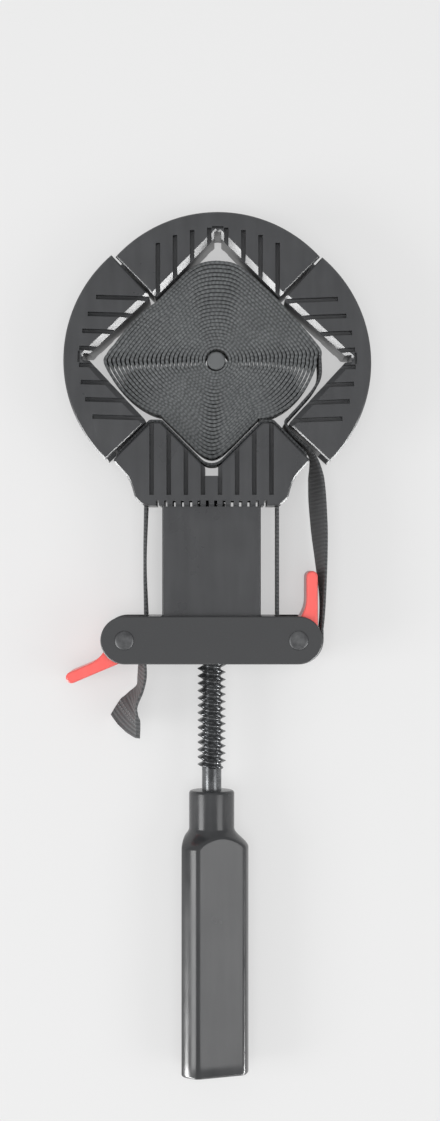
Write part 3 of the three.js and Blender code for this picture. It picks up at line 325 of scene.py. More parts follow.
def finished(obj, material, body=None, smooth=35):
    """Gives a piece its material, makes edges of up to smooth degrees soft, and puts it on its body."""
    obj.data.materials.clear()
    obj.data.materials.append(material)
    obj.data.shade_smooth()
    if smooth:
        obj.data.set_sharp_from_angle(angle=math.radians(smooth))
    if body:
        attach(obj, body)


def mesh_piece(name, points, faces, uvs=None):
    mesh = bpy.data.meshes.new(name)
    mesh.from_pydata([tuple(p) for p in points], [], faces)
    if uvs:
        layer = mesh.uv_layers.new(name="UVMap")
        for corner, loop in zip(uvs, layer.data):
            loop.uv = corner
    mesh.validate()
    obj = bpy.data.objects.new(name, mesh)
    bpy.context.scene.collection.objects.link(obj)
    return obj


# Rounding of the construction's meshes, in millimetres and degrees
FACET_WELD = 0.004
FLAT_ANGLE = 0.6
EDGE_ANGLE = 32
EDGE_SEGMENTS = 2


def softened(node, material, edge):
    """A copy of a construction node with its flat facets joined and its edges rounded."""
    mesh = frame["nodes"][node].data.copy()
    mesh.name = f"{node}_moulded"
    form = bmesh.new()
    form.from_mesh(mesh)
    bmesh.ops.remove_doubles(form, verts=form.verts, dist=FACET_WELD * MM)
    flat = math.radians(FLAT_ANGLE)
    bmesh.ops.dissolve_limit(form, angle_limit=flat, verts=form.verts, edges=form.edges)
    form.to_mesh(mesh)
    form.free()
    obj = bpy.data.objects.new(mesh.name, mesh)
    bpy.context.scene.collection.objects.link(obj)
    rounding = obj.modifiers.new("rounded edges", "BEVEL")
    rounding.width = edge * MM
    rounding.segments = EDGE_SEGMENTS
    rounding.limit_method = "ANGLE"
    rounding.angle_limit = math.radians(EDGE_ANGLE)
    rounding.harden_normals = True
    finished(obj, material, BODY_OF[node])
    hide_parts(node)


SOFTENED = (  # construction nodes, material, rounding of their edges in millimetres
    (("main_jaw", "jaw_top", "jaw_left", "jaw_right"), NYLON, 0.25),
    (("guide_tongue", "crossbar_block"), NYLON, 0.3),
    (("coil_core",), CORE_NYLON, 0.3),
    (("lever_left", "lever_right"), CORAL_NYLON, 0.3),
    (("crossbar_top_plate", "crossbar_bottom_plate"), COAT, 0.12),
    (("spindle_nut", "thrust_pad", "keeper_plate", "handle_pin"), ZINC_STEEL, 0.12),
)


def moulded_pieces():
    for nodes, material, edge in SOFTENED:
        for node in nodes:
            softened(node, material, edge)


POINT_WELD = 0.0005  # points closer than this are one, in millimetres


def outward(obj, weld=False, cap=False):
    """Turns a piece's faces outwards, after its points are joined or its open rims capped."""
    form = bmesh.new()
    form.from_mesh(obj.data)
    if weld:
        bmesh.ops.remove_doubles(form, verts=form.verts, dist=POINT_WELD * MM)
    if cap:
        rims = [edge for edge in form.edges if edge.is_boundary]
        bmesh.ops.holes_fill(form, edges=rims, sides=0)
    bmesh.ops.recalc_face_normals(form, faces=form.faces)
    form.to_mesh(obj.data)
    form.free()


def tube_faces(rows, count):
    """The faces of a tube of rows of count points each, and then its two ends."""
    faces = []
    for row in range(rows - 1):
        low, high = row * count, (row + 1) * count
        for k in range(count):
            n = (k + 1) % count
            faces.append((low + k, low + n, high + n, high + k))
    last = (rows - 1) * count
    return faces + [tuple(reversed(range(count))), tuple(range(last, last + count))]


def tube_uvs(section, places, ends):
    """A tube's UV corners in metres: round its section and along its places, and across its ends."""
    count = len(section)
    reach = [0.0]
    for k in range(count):
        reach.append(reach[-1] + math.dist(section[k], section[(k + 1) % count]))
    corners = []
    for start, end in zip(places, places[1:]):
        for low, high in zip(reach, reach[1:]):
            corners += [(low, start), (high, start), (high, end), (low, end)]
    corners += [(across, places[0]) for across in reversed(ends)]
    corners += [(across, places[-1]) for across in ends]
    return [(u * MM, v * MM) for u, v in corners]


TURNED_SEGMENTS = 48


def lathe(name, profile, centre=None):
    """A [radius, place] profile turned round Z through centre, or else round the spindle's axis."""
    points = []
    for radius, place in profile:
        for k in range(TURNED_SEGMENTS):
            angle = 2 * math.pi * k / TURNED_SEGMENTS
            u, v = radius * math.cos(angle), radius * math.sin(angle)
            spot = (centre[0] + u, centre[1] + v, place) if centre else (u, place, AXIS_HEIGHT + v)
            points.append(Vector(spot) * MM)
    obj = mesh_piece(name, points, tube_faces(len(profile), TURNED_SEGMENTS))
    outward(obj, weld=True)
    return obj


# Riveted pivot pins
PIN_RADIUS = 3
PIN_HEAD_RADIUS = 3.6
PIN_HEAD_HEIGHT = 1
PIN_HEAD_RISE = 0.4
PIN_SPREAD_RADIUS = 3.84  # the riveted head fills its step in the plate
PIN_DOME = ((0, 0.5), (0.2, 0.28), (0.7, 0.1), (1.4, 0))  # in from its edge, down from its top
PIN_DIMPLE = ((2, 0.02), (1.6, 0.08), (0.3, 0.12))  # radius, down from its top
HAMMER_DEPTH = 0.06  # of the uneven marks on the riveted head
HAMMER_MARKS = 900  # to the metre
BODY_HEIGHT = 32


def pivot_pins():
    for side, node in ((-1, "pivot_pin_left"), (1, "pivot_pin_right")):
        top = BODY_HEIGHT + PIN_HEAD_RISE
        profile = [
            (PIN_HEAD_RADIUS - SEAT_GAP, SEAT_GAP),
            (PIN_HEAD_RADIUS, 2 * SEAT_GAP),
            (PIN_HEAD_RADIUS, PIN_HEAD_HEIGHT),
            (PIN_RADIUS, PIN_HEAD_HEIGHT),
            (PIN_RADIUS, BODY_HEIGHT - PIN_HEAD_HEIGHT),
            (PIN_SPREAD_RADIUS, BODY_HEIGHT - PIN_HEAD_HEIGHT),
        ]
        profile += [(PIN_SPREAD_RADIUS - inward, top - down) for inward, down in PIN_DOME]
        profile += [(radius, top - down) for radius, down in PIN_DIMPLE]
        pin = lathe(f"{node}_riveted", profile, (side * PIN_X, BAR_Y))
        for vertex in pin.data.vertices:
            if vertex.co.z > (BODY_HEIGHT - PIN_HEAD_HEIGHT) * MM:
                vertex.co.z += HAMMER_DEPTH * MM * noise.noise(vertex.co * HAMMER_MARKS)
        finished(pin, RIVET, "crossbar", smooth=50)
        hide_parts(node)


# Spindle: head, neck and shank are turned, and the thread between them follows its helix
SPINDLE_RADIUS = 6.0
SPINDLE_ROOT = 3.7
SPINDLE_PITCH = 3.0
SPINDLE_NECK_RADIUS = 4
SPINDLE_HEAD_RADIUS = 5.5
SPINDLE_TIP = -5.3
SPINDLE_HEAD_END = -11.3
THREAD_START = -14.2
THREAD_END = -116.2
SHANK_RADIUS = 3.95
SHANK_END = -137.6
SPINDLE_CHAMFER = 1.8
SHANK_CHAMFER = 0.9
END_FLAT = 0.5  # what a turned end keeps flat round its middle
THREAD_SEGMENTS = 40
THREAD_ROWS_PER_TURN = 10
THREAD_FLANK = (0.1, 1.15)  # where a flank begins and would end, in half pitches


def node_group(name, **kinds):
    """An empty tree that gives geometry, with named inputs of each kind."""
    tree = bpy.data.node_groups.new(name, "GeometryNodeTree")
    face = tree.interface
    face.new_socket("Geometry", in_out="OUTPUT", socket_type="NodeSocketGeometry")
    for kind, names in kinds.items():
        for socket in names:
            face.new_socket(socket, in_out="INPUT", socket_type=f"NodeSocket{kind}")
    return tree, tree.nodes.new("NodeGroupInput").outputs


def ended(tree, geometry, material):
    """Ends a tree: its instances become real and its faces get their material."""
    real = put(tree, "GeometryNodeRealizeInstances", Geometry=geometry)
    painted = put(tree, "GeometryNodeSetMaterial", Geometry=real.outputs[0], Material=material)
    connect(tree, tree.nodes.new("NodeGroupOutput").inputs[0], painted.outputs[0])
    return tree


def thread_tree():
    """A tree that rolls a grid into a rod with a helical thread that runs out at both ends."""
    lengths = ("Start", "Length", "Pitch", "Crest Radius", "Root Radius", "Axis Height")
    counts = ("Segments", "Rows")
    tree, given = node_group("helical_thread", Float=lengths, Int=counts, Material=("Material",))
    across = {"Vertices_X": given["Segments"], "Vertices_Y": given["Rows"]}
    grid = put(tree, "GeometryNodeMeshGrid", Size_X=1.0, Size_Y=1.0, **across)
    position = tree.nodes.new("GeometryNodeInputPosition").outputs[0]
    spot = put(tree, "ShaderNodeSeparateXYZ", Vector=position)
    round_share = maths(tree, "ADD", spot.outputs["X"], 0.5)
    along_share = maths(tree, "ADD", spot.outputs["Y"], 0.5)
    along = maths(tree, "MULTIPLY", along_share, given["Length"])
    turns = maths(tree, "ADD", maths(tree, "DIVIDE", along, given["Pitch"]), round_share)
    half_pitches = maths(tree, "MULTIPLY", maths(tree, "PINGPONG", turns, 0.5), 2.0)
    flank = {"Value": half_pitches, "From_Min": THREAD_FLANK[0], "From_Max": THREAD_FLANK[1]}
    ridge = put(tree, "ShaderNodeMapRange", {"interpolation_type": "SMOOTHSTEP"}, **flank)
    from_end = maths(tree, "MINIMUM", along, maths(tree, "SUBTRACT", given["Length"], along))
    runout = remap(tree, from_end, 0.0, given["Pitch"])
    depth = maths(tree, "SUBTRACT", given["Crest Radius"], given["Root Radius"])
    rise = maths(tree, "MULTIPLY", maths(tree, "MULTIPLY", ridge.outputs[0], runout), depth)
    radius = maths(tree, "ADD", given["Root Radius"], rise)
    angle = maths(tree, "MULTIPLY", round_share, 2 * math.pi)
    x = maths(tree, "MULTIPLY", radius, maths(tree, "COSINE", angle))
    up = maths(tree, "MULTIPLY", radius, maths(tree, "SINE", angle))
    z = maths(tree, "ADD", up, given["Axis Height"])
    y = maths(tree, "SUBTRACT", given["Start"], along)
    rolled = put(tree, "ShaderNodeCombineXYZ", X=x, Y=y, Z=z).outputs[0]
    moved = put(tree, "GeometryNodeSetPosition", Geometry=grid.outputs["Mesh"], Position=rolled)
    weld = {"Geometry": moved.outputs[0], "Distance": 2 * POINT_WELD * MM}
    sewn = put(tree, "GeometryNodeMergeByDistance", **weld)
    return ended(tree, sewn.outputs[0], given["Material"])


def grown(name, tree, values):
    """The plain mesh that a tree makes with the given inputs."""
    host = bpy.data.objects.new(name, bpy.data.meshes.new(name))
    bpy.context.scene.collection.objects.link(host)
    maker = host.modifiers.new(tree.name, "NODES")
    maker.node_group = tree
    inputs = [item for item in tree.interface.items_tree if item.in_out == "INPUT"]
    for item in inputs:
        maker[item.identifier] = values[item.name]
    graph = bpy.context.evaluated_depsgraph_get()
    mesh = bpy.data.meshes.new_from_object(host.evaluated_get(graph))
    host.modifiers.clear()
    host.data = mesh
    return host


def spindle():
    length = THREAD_START - THREAD_END
    values = {
        "Start": THREAD_START * MM,
        "Length": length * MM,
        "Pitch": SPINDLE_PITCH * MM,
        "Crest Radius": SPINDLE_RADIUS * MM,
        "Root Radius": SPINDLE_ROOT * MM,
        "Axis Height": AXIS_HEIGHT * MM,
        "Segments": THREAD_SEGMENTS + 1,
        "Rows": round(length / SPINDLE_PITCH * THREAD_ROWS_PER_TURN) + 1,
        "Material": OXIDE,
    }
    thread = grown("spindle_thread", thread_tree(), values)
    outward(thread, cap=True)
    finished(thread, OXIDE, "spindle", smooth=60)
    head = [
        (END_FLAT, SPINDLE_TIP),
        (SPINDLE_HEAD_RADIUS - SPINDLE_CHAMFER, SPINDLE_TIP),
        (SPINDLE_HEAD_RADIUS, SPINDLE_TIP - SPINDLE_CHAMFER),
        (SPINDLE_HEAD_RADIUS, SPINDLE_HEAD_END),
        (SPINDLE_NECK_RADIUS, SPINDLE_HEAD_END),
        (SPINDLE_NECK_RADIUS, THREAD_START - SPINDLE_PITCH),
    ]
    shank = [
        (SHANK_RADIUS, THREAD_END + SPINDLE_PITCH),
        (SHANK_RADIUS, SHANK_END + SHANK_CHAMFER),
        (SHANK_RADIUS - SHANK_CHAMFER, SHANK_END),
        (END_FLAT, SHANK_END),
    ]
    finished(lathe("spindle_head", head), OXIDE, "spindle")
    finished(lathe("spindle_shank", shank), OXIDE, "spindle")
    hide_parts("spindle")


# Handle: a round collar that flares into a grip with three flats, hollow at its open end
HANDLE_START = -123.7
HANDLE_LENGTH = 115
COLLAR_RADIUS = 9.2
COLLAR_LENGTH = 15.2
COLLAR_RINGS = (4, 8, 12, COLLAR_LENGTH)
COLLAR_ROUND = 1.2
COLLAR_ROUND_STEPS = 6
SHOULDER_LENGTH = 8
SHOULDER_STEPS = 24
GRIP_RADIUS = 15
GRIP_FLAT = 11
GRIP_WALL = 2.6
GRIP_CORNERS = 8  # degrees
GRIP_STEPS = 20
GRIP_END_ROUND = 1
GRIP_END_STEPS = 5
GRIP_LIP = 0.4  # the inner edge's chamfer
HOLLOW_FLOOR = 24
FLAT_BLEND = 0.9  # how softly a flat runs into the round
FLAT_REACH = 0.2  # a flat cuts where the cosine from its middle is more than this
HANDLE_SEGMENTS = 144


def softly_least(a, b, blend):
    near = max(blend - abs(a - b), 0) / blend
    return min(a, b) - near * near * blend / 4


def flattened(radius, flat, angle):
    """A circle's radius at an angle, cut back by the grip's three flats."""
    for k in range(3):
        facing = math.cos(angle - math.radians(GRIP_CORNERS + 60 + 120 * k))
        if facing > FLAT_REACH:
            radius = softly_least(radius, flat / facing, FLAT_BLEND)
    return radius


def handle_outline():
    """[place, radius, inside] rows from the collar's face to the end and into the hollow."""
    rows = []
    for k in range(COLLAR_ROUND_STEPS + 1):
        turn = math.pi / 2 * k / COLLAR_ROUND_STEPS
        place = COLLAR_ROUND * (1 - math.cos(turn))
        rows.append((place, COLLAR_RADIUS - COLLAR_ROUND * (1 - math.sin(turn)), False))
    rows += [(place, COLLAR_RADIUS, False) for place in COLLAR_RINGS]
    for k in range(1, SHOULDER_STEPS + 1):
        share = k / SHOULDER_STEPS
        radius = COLLAR_RADIUS + share * share * (3 - 2 * share) * (GRIP_RADIUS - COLLAR_RADIUS)
        rows.append((COLLAR_LENGTH + share * SHOULDER_LENGTH, radius, False))
    start = COLLAR_LENGTH + SHOULDER_LENGTH
    straight = HANDLE_LENGTH - GRIP_END_ROUND - start
    for k in range(1, GRIP_STEPS + 1):
        rows.append((start + straight * k / GRIP_STEPS, GRIP_RADIUS, False))
    for k in range(1, GRIP_END_STEPS + 1):
        turn = math.pi / 2 * k / GRIP_END_STEPS
        place = HANDLE_LENGTH - GRIP_END_ROUND * (1 - math.sin(turn))
        rows.append((place, GRIP_RADIUS - GRIP_END_ROUND * (1 - math.cos(turn)), False))
    inside = GRIP_RADIUS - GRIP_WALL
    rows += [(HANDLE_LENGTH, inside + GRIP_LIP, True), (HANDLE_LENGTH - GRIP_LIP, inside, True)]
    rows += [(HOLLOW_FLOOR + GRIP_WALL, inside, True), (HOLLOW_FLOOR, inside - GRIP_WALL, True)]
    return rows


def handle():
    points = []
    rows = handle_outline()
    for place, radius, inside in rows:
        end_cut = max(0, place - (HANDLE_LENGTH - GRIP_END_ROUND))
        flat = GRIP_FLAT - (GRIP_WALL if inside else end_cut * end_cut / GRIP_END_ROUND)
        for k in range(HANDLE_SEGMENTS):
            angle = 2 * math.pi * k / HANDLE_SEGMENTS
            reach = flattened(radius, flat, angle)
            across, up = reach * math.cos(angle), reach * math.sin(angle)
            points.append(Vector((across, HANDLE_START - place, AXIS_HEIGHT + up)) * MM)
    grip = mesh_piece("handle_grip", points, tube_faces(len(rows), HANDLE_SEGMENTS))
    outward(grip, weld=True)
    finished(grip, GRIP_NYLON, "spindle", smooth=40)
    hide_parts("handle")


# The woven band, in the stretches that the construction has
SELVAGE = 1.2  # width of the thicker woven edge
SELVAGE_SWELL = 0.12  # how much thicker that edge is
SELVAGE_ROUNDING = ((0.06, 0.55), (0.3, 0.92))  # in from the edge, share of half its thickness
SELVAGE_FOOT = 0.97  # what the edge narrows to before the even part

# Routes: x, y, how far the top edge leans beyond the bottom one in x and in y, and the height
LEFT_STRAND_ROUTE = [
    (-26.6, -52.3, 0, 0, 16),
    (-26.8, -46, 0.2, 0, 16),
    (-27.1, -36, 0.5, 0, 16),
    (-27.1, -26, 0.5, 0, 16),
    (-26.8, -15, 0.2, 0, 16),
    (-26.6, -8.5, 0, 0, 16),
]
TAIL_ROUTE = [
    (-26.6, -66.5, 0, 0, 16),
    (-27.2, -69.6, 1.4, 0, 16),
    (-28.1, -73, 3.5, 0, 15.9),
    (-28.4, -77.5, 3.7, -0.4, 15.7),
    (-29.4, -82.8, 2.9, -0.9, 15.4),
    (-32.2, -88.2, 6.6, -0.2, 14.4),
    (-34, -93.6, 10, -3.6, 13.2),
    (-35.4, -98, 11.5, -7.7, 12.2),
]
RUN_ROUTE = [
    (44.5, -57.6, 0, 0, 16),
    (45, -52, 0.1, 0, 16),
    (45.2, -45.2, 0.6, 0, 15.9),
    (45, -37, 1.9, 0, 15.6),
    (44.6, -28.4, 3.4, 0, 15.1),
    (43.9, -17.2, 5, 0.1, 14.6),
    (43.15, -6, 5.4, 0.2, 14.3),
    (42.6, 3.2, 4.6, 0.4, 14.2),
    (42, 9, 2.2, 0.5, 14.3),
    (40.9, 12.6, 0.5, 0.2, 14.4),
    (38.7, 15.3, 0.2, 0.1, 14.7),
    (34.7, 18.9, 0, 0, 14.8),
    (31.5, 22.2, 0, 0, 14.7),
    (30.1, 24.9, 0, 0, 14.4),
    (31.1, 27.1, 0, 0, 14.1),
    (35.5, 32.1, 0, 0, 13.7),
    (41, 38.6, 0, 0, 13.2),
    (43.7, 43.8, 0, 0, 12.9),
]
TAIL_STEPS = 70
RUN_STEPS = 300
STRAND_STEPS = 60
WEBBING_STEP = 0.8  # the longest step on the upright stretches
ARC_STEPS = 8  # in each rounded corner
WRAP_STEPS = 40
WRAP_EASE = 0.6  # how early the wrap comes out to its full radius
HEM_LENGTH = 9
HEM_THICKNESS = 2.2
HEM_EASE = 1.2
HEM_BOW = 1.3  # how far the middle of the tail's end stands out


def spline_point(points, share):
    """A centripetal Catmull-Rom curve through the points, the same as the construction's."""
    count = len(points)
    place = share * (count - 1)
    i = min(int(place), count - 2)
    weight = place - i
    p1, p2 = points[i], points[i + 1]
    p0 = points[i - 1] if i > 0 else 2 * p1 - p2
    p3 = points[i + 2] if i + 2 < count else 2 * p2 - p1
    d0, d1, d2 = ((b - a).length ** 0.5 for a, b in ((p0, p1), (p1, p2), (p2, p3)))
    d1 = d1 if d1 > 1e-4 else 1.0
    d0 = d0 if d0 > 1e-4 else d1
    d2 = d2 if d2 > 1e-4 else d1
    t1 = ((p1 - p0) / d0 - (p2 - p0) / (d0 + d1) + (p2 - p1) / d1) * d1
    t2 = ((p2 - p1) / d1 - (p3 - p1) / (d1 + d2) + (p3 - p2) / d2) * d1
    a = 2 * p1 - 2 * p2 + t1 + t2
    b = -3 * p1 + 3 * p2 - 2 * t1 - t2
    return p1 + weight * (t1 + weight * (b + weight * a))


def leaning_stations(route, steps):
    """[place, up, out] stations of a band that leans as its route says."""
    middle = [Vector((x, y, z)) for x, y, _, _, z in route]
    leans = [Vector((x, y, 0)) for _, _, x, y, _ in route]
    spots = [spline_point(middle, k / steps) for k in range(steps + 1)]
    stations = []
    for k, at in enumerate(spots):
        along = (spots[min(k + 1, steps)] - spots[max(k - 1, 0)]).normalized()
        lean = spline_point(leans, k / steps)
        up = Vector((lean.x, lean.y, math.sqrt(BAND_WIDTH**2 - lean.length_squared))).normalized()
        out = up.cross(along).normalized()
        stations.append((at, along.cross(out).normalized(), out))
    return stations


def upright_stations(path):
    """[place, up, out] stations of a band that stands upright along a path."""
    stations = []
    path = refined(path)
    for k, (x, y) in enumerate(path):
        ahead = Vector(path[min(k + 1, len(path) - 1)]) - Vector(path[max(k - 1, 0)])
        ahead.normalize()
        out = Vector((-ahead.y, ahead.x, 0))
        stations.append((Vector((x, y, AXIS_HEIGHT)), Vector((0, 0, 1)), out))
    return stations


def refined(path):
    """The path with points no further apart than the webbing's step."""
    points = [Vector(path[0])]
    for spot in path[1:]:
        start, end = points[-1].copy(), Vector(spot)
        count = max(1, math.ceil((end - start).length / WEBBING_STEP))
        points += [start.lerp(end, k / count) for k in range(1, count + 1)]
    return [tuple(p) for p in points]


def rounded_path(corners):
    """Corners (x, y, radius) as points, with arcs in the corners that have a radius."""
    points = []
    for i, (x, y, radius) in enumerate(corners):
        here = Vector((x, y))
        if radius == 0 or i in (0, len(corners) - 1):
            points.append(here)
            continue
        before = (Vector(corners[i - 1][:2]) - here).normalized()
        after = (Vector(corners[i + 1][:2]) - here).normalized()
        half = before.angle(after) / 2
        cut = radius / math.tan(half)
        centre = here + (before + after).normalized() * radius / math.sin(half)
        start, end = here + before * cut - centre, here + after * cut - centre
        turn = start.angle_signed(end)
        for k in range(ARC_STEPS + 1):
            angle = -turn * k / ARC_STEPS
            c, s = math.cos(angle), math.sin(angle)
            points.append(centre + Vector((start.x * c - start.y * s, start.x * s + start.y * c)))
    return [tuple(p) for p in points]


def band_section(thickness):
    """The band's rounded section, from the middle of its top edge round to where that starts."""
    half, side = BAND_WIDTH / 2, thickness / 2
    swell = side + SELVAGE_SWELL / 2
    top = [(half, 0)]
    top += [(half - inward, swell * share) for inward, share in SELVAGE_ROUNDING]
    top += [
        (half - SELVAGE / 2, swell),
        (half - SELVAGE, side * SELVAGE_FOOT),
        (half - 2 * SELVAGE, side),
        (half / 3, side),
    ]
    right = top + [(-a, b) for a, b in reversed(top[1:])]
    return right + [(-half, 0)] + [(a, -b) for a, b in reversed(right[1:])]


def one_layer(along):
    """The thickness of plain webbing, the same all along it."""
    return BAND_THICKNESS


def webbing(name, stations, node, thickness=one_layer, end_bow=0.0):
    """A band through the stations, its UV map in metres across and along. Its end may be bowed."""
    places = [0.0]
    for (before, _, _), (at, _, _) in zip(stations, stations[1:]):
        places.append(places[-1] + (at - before).length)
    onwards = stations[-1][0] - stations[0][0]
    points = []
    for along, (at, up, out) in zip(places, stations):
        section = band_section(thickness(along))
        ahead = out.cross(up) if out.cross(up).dot(onwards) > 0 else up.cross(out)
        bow = end_bow * max(0, 1 - (places[-1] - along) / HEM_LENGTH)
        for a, b in section:
            forward = ahead * bow * (1 - (2 * a / BAND_WIDTH) ** 2)
            points.append((at + up * a + out * b + forward) * MM)
    faces = tube_faces(len(stations), len(section))
    uvs = tube_uvs(section, places, [a for a, _ in section])
    obj = mesh_piece(name, points, faces, uvs)
    outward(obj)
    finished(obj, WEBBING, smooth=60)
    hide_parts(node)
    return obj, places[-1]


def length_of(stations):
    return sum((b[0] - a[0]).length for a, b in zip(stations, stations[1:]))


def loop_path():
    face = MAIN_FACE + BAND_REACH * math.sqrt(2)
    corner = MAIN_CORNER + BAND_REACH * math.sqrt(2)
    tip = MAIN_TIP + BAND_REACH
    rise = (face - STRAND_X - MAIN_BOTTOM) / (1 + math.tan(FLANK_LEAN))
    nose = (STRAND_X + rise * math.tan(FLANK_LEAN), MAIN_BOTTOM + rise)
    half = [
        (0, corner, LOOP_CORNER_RADIUS),
        (tip - corner, tip, LOOP_TIP_RADIUS),
        (face - tip, tip, LOOP_TIP_RADIUS),
        (*nose, NOSE_RADIUS + BAND_REACH),
        (STRAND_X, MAIN_BOTTOM, 0),
    ]
    left = [(-x, y, r) for x, y, r in reversed(half[1:])]
    return rounded_path(left + half)


def wrap_path():
    """The band's way round the crossbar's right end, from the tongue's side to the run."""
    inner, outer = PIN_X - STRAND_X, BAR_RADIUS
    path = [(STRAND_X, BAR_Y + BAR_RADIUS)]
    for k in range(WRAP_STEPS + 1):
        angle = math.pi * (1 + k / WRAP_STEPS)
        radius = inner + (outer - inner) * (k / WRAP_STEPS) ** WRAP_EASE
        path.append((PIN_X + radius * math.cos(angle), BAR_Y + radius * math.sin(angle)))
    return path + [(BAR_HALF, RUN_ROUTE[0][1] - SEAT_GAP)]


def hem_thickness(length):
    """The tail's thickness along its length: one layer, then two in the folded hem."""

    def thickness(along):
        share = (along - (length - HEM_LENGTH)) / HEM_EASE
        share = min(1, max(0, share))
        return BAND_THICKNESS + (HEM_THICKNESS - BAND_THICKNESS) * share

    return thickness


STITCH_LENGTH = 1.1
STITCH_PITCH = 2.3
STITCH_RADIUS = 0.22
STITCH_ROWS = (HEM_LENGTH - 2.2, HEM_LENGTH - 4.0)  # from the tail's end
STITCH_MARGIN = 1.5 * SELVAGE  # from the band's edge to the first stitch


def stitch_tree():
    """A tree that lays a short rounded stitch at every point of a row."""
    sizes = ("Stitch Length", "Thread Radius")
    kinds = {"Vector": ("Start", "End", "Direction"), "Float": sizes, "Int": ("Count",)}
    tree, given = node_group("stitch_row", **kinds, Material=("Material",))
    ends = {"Start_Location": given["Start"], "Offset": given["End"]}
    row = put(tree, "GeometryNodeMeshLine", {"mode": "END_POINTS"}, Count=given["Count"], **ends)
    stitch = put(tree, "GeometryNodeMeshUVSphere", Segments=8, Rings=6, Radius=1.0)
    thick, long = given["Thread Radius"], given["Stitch Length"]
    size = put(tree, "ShaderNodeCombineXYZ", X=thick, Y=thick, Z=long)
    aim = put(tree, "FunctionNodeAlignEulerToVector", {"axis": "Z"}, Vector=given["Direction"])
    laid = put(tree, "GeometryNodeInstanceOnPoints", Points=row.outputs[0])
    give(tree, laid, Instance=stitch.outputs[0], Rotation=aim.outputs[0], Scale=size.outputs[0])
    return ended(tree, laid.outputs[0], given["Material"])


def hem_stitches(stations):
    """Two rows of stitches on both faces of the tail's hem."""
    tree = stitch_tree()
    count = round((BAND_WIDTH - 2 * SELVAGE) / STITCH_PITCH)
    reach = BAND_WIDTH / 2 - STITCH_MARGIN
    for side, face in ((1, "outer"), (-1, "inner")):
        for number, from_end in enumerate(STITCH_ROWS):
            k = round((1 - from_end / length_of(stations)) * (len(stations) - 1))
            at, up, out = stations[k]
            surface = at + out * side * HEM_THICKNESS / 2
            values = {
                "Start": (surface - up * reach) * MM,
                "End": (surface + up * reach) * MM,
                "Direction": up,
                "Stitch Length": STITCH_LENGTH / 2 * MM,
                "Thread Radius": STITCH_RADIUS * MM,
                "Count": count,
                "Material": THREAD,
            }
            row = grown(f"hem_stitches_{face}_{number + 1}", tree, values)
            finished(row, THREAD, "crossbar")


def band_loop():
    """The loop drawn tight on the main jaw's corner."""
    loop, length = webbing("band_round_main_jaw", upright_stations(loop_path()), "band_loop")
    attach(loop, "main_jaw")


def band_strands():
    """The two strands beside the tongue, of which the left one bows a little."""
    for side, name in ((-1, "left"), (1, "right")):
        x = side * STRAND_X
        ends = [(x, MAIN_BOTTOM - SEAT_GAP), (x, BAR_Y + BAR_RADIUS + SEAT_GAP)]
        stations = upright_stations(ends)
        if side < 0:
            stations = alike(leaning_stations(LEFT_STRAND_ROUTE, STRAND_STEPS))
        strand, length = webbing(f"band_{name}_of_tongue", stations, f"band_strand_{name}")
        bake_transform(strand)


def band_tail():
    """The tail behind the left lever, with its folded and stitched hem."""
    straight = [(-STRAND_X, BAR_Y + BAR_RADIUS), TAIL_ROUTE[0][:2]]
    free = leaning_stations(TAIL_ROUTE, TAIL_STEPS)
    stations = alike(upright_stations(straight) + free[1:])
    thickness = hem_thickness(length_of(stations))
    tail, length = webbing("band_tail_with_hem", stations, "band_tail", thickness, HEM_BOW)
    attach(tail, "crossbar")
    hem_stitches(free)


def band_wrap():
    wrap, length = webbing("band_round_lever", upright_stations(wrap_path()), "band_wrap")
    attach(wrap, "crossbar")


def band_run():
    """The free stretch from the right lever to the coil's outer end."""
    coil_end = coil_point(0)
    route = RUN_ROUTE + [(coil_end.x, coil_end.y - SEAT_GAP, 0, 0, COIL_HEIGHT)]
    stations = alike(leaning_stations(route, RUN_STEPS))
    run, length = webbing("band_run_to_coil", stations, "band_run")
    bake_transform(run)


def alike(stations):
    """The stations with their faces all to the same side as the first one's."""
    fixed = [stations[0]]
    for at, up, out in stations[1:]:
        _, last_up, last_out = fixed[-1]
        fixed.append((at, -up if up.dot(last_up) < 0 else up, -out if out.dot(last_out) < 0 else out))
    return fixed


# The spare band wound up between the jaws
COIL_TURNS = 24
COIL_STEP = 0.37  # between stations
COIL_FINE_STEPS = 24000  # of the spiral that the stations are chosen on
COIL_LEAST_THICKNESS = 0.97
COIL_MOST_THICKNESS = 1.15  # where loose turns stand apart at the corners
COIL_HALF_U = 31.4
COIL_HALF_V = 32.4
COIL_CENTRE = (0.7, 52.6)
COIL_CORE_CENTRE = (1.9, 50.4)
COIL_CORE_RADIUS = 3.8
COIL_CORNER_POWERS = (16, 4, 20, 10)  # how sharp the right, top, left and bottom corners are
COIL_FADING = 1.5  # how soon corners and bulges go as the turns come inwards
COIL_LIFT = 0.3
COIL_HEIGHT = COIL_LIFT + BAND_WIDTH / 2
COIL_BULGES = (  # middle and half width in degrees, and how far out as a share of the reach
    (45, 38, 0.045),
    (156, 18, 0.04),
    (204, 24, 0.13),
    (332, 26, 0.19),
)
BULGE_EDGE = 0.8  # under 1 a bulge rises steeply at its sides and is flat in its middle
DOT_HEIGHT = 0.2
DOT_SWELL = 0.04
TURN_ROUNDING = ((0, 0), (0.04, 0.85), (0.14, 1))  # down from the top, share of half a turn
TURN_WANDER = 0.16  # how far a turn stands above its neighbours
WANDER_SPREAD = 14  # over which a turn rises and falls
WANDER_PER_TURN = 0.9  # how much one turn differs from the next
TURN_GAP = 0.06
CORE_EASE = 0.08  # between the core and the first turn on it
DISH_DEPTH = 0.4  # the turns next to the core lie lower
DISH_RADIUS = 11


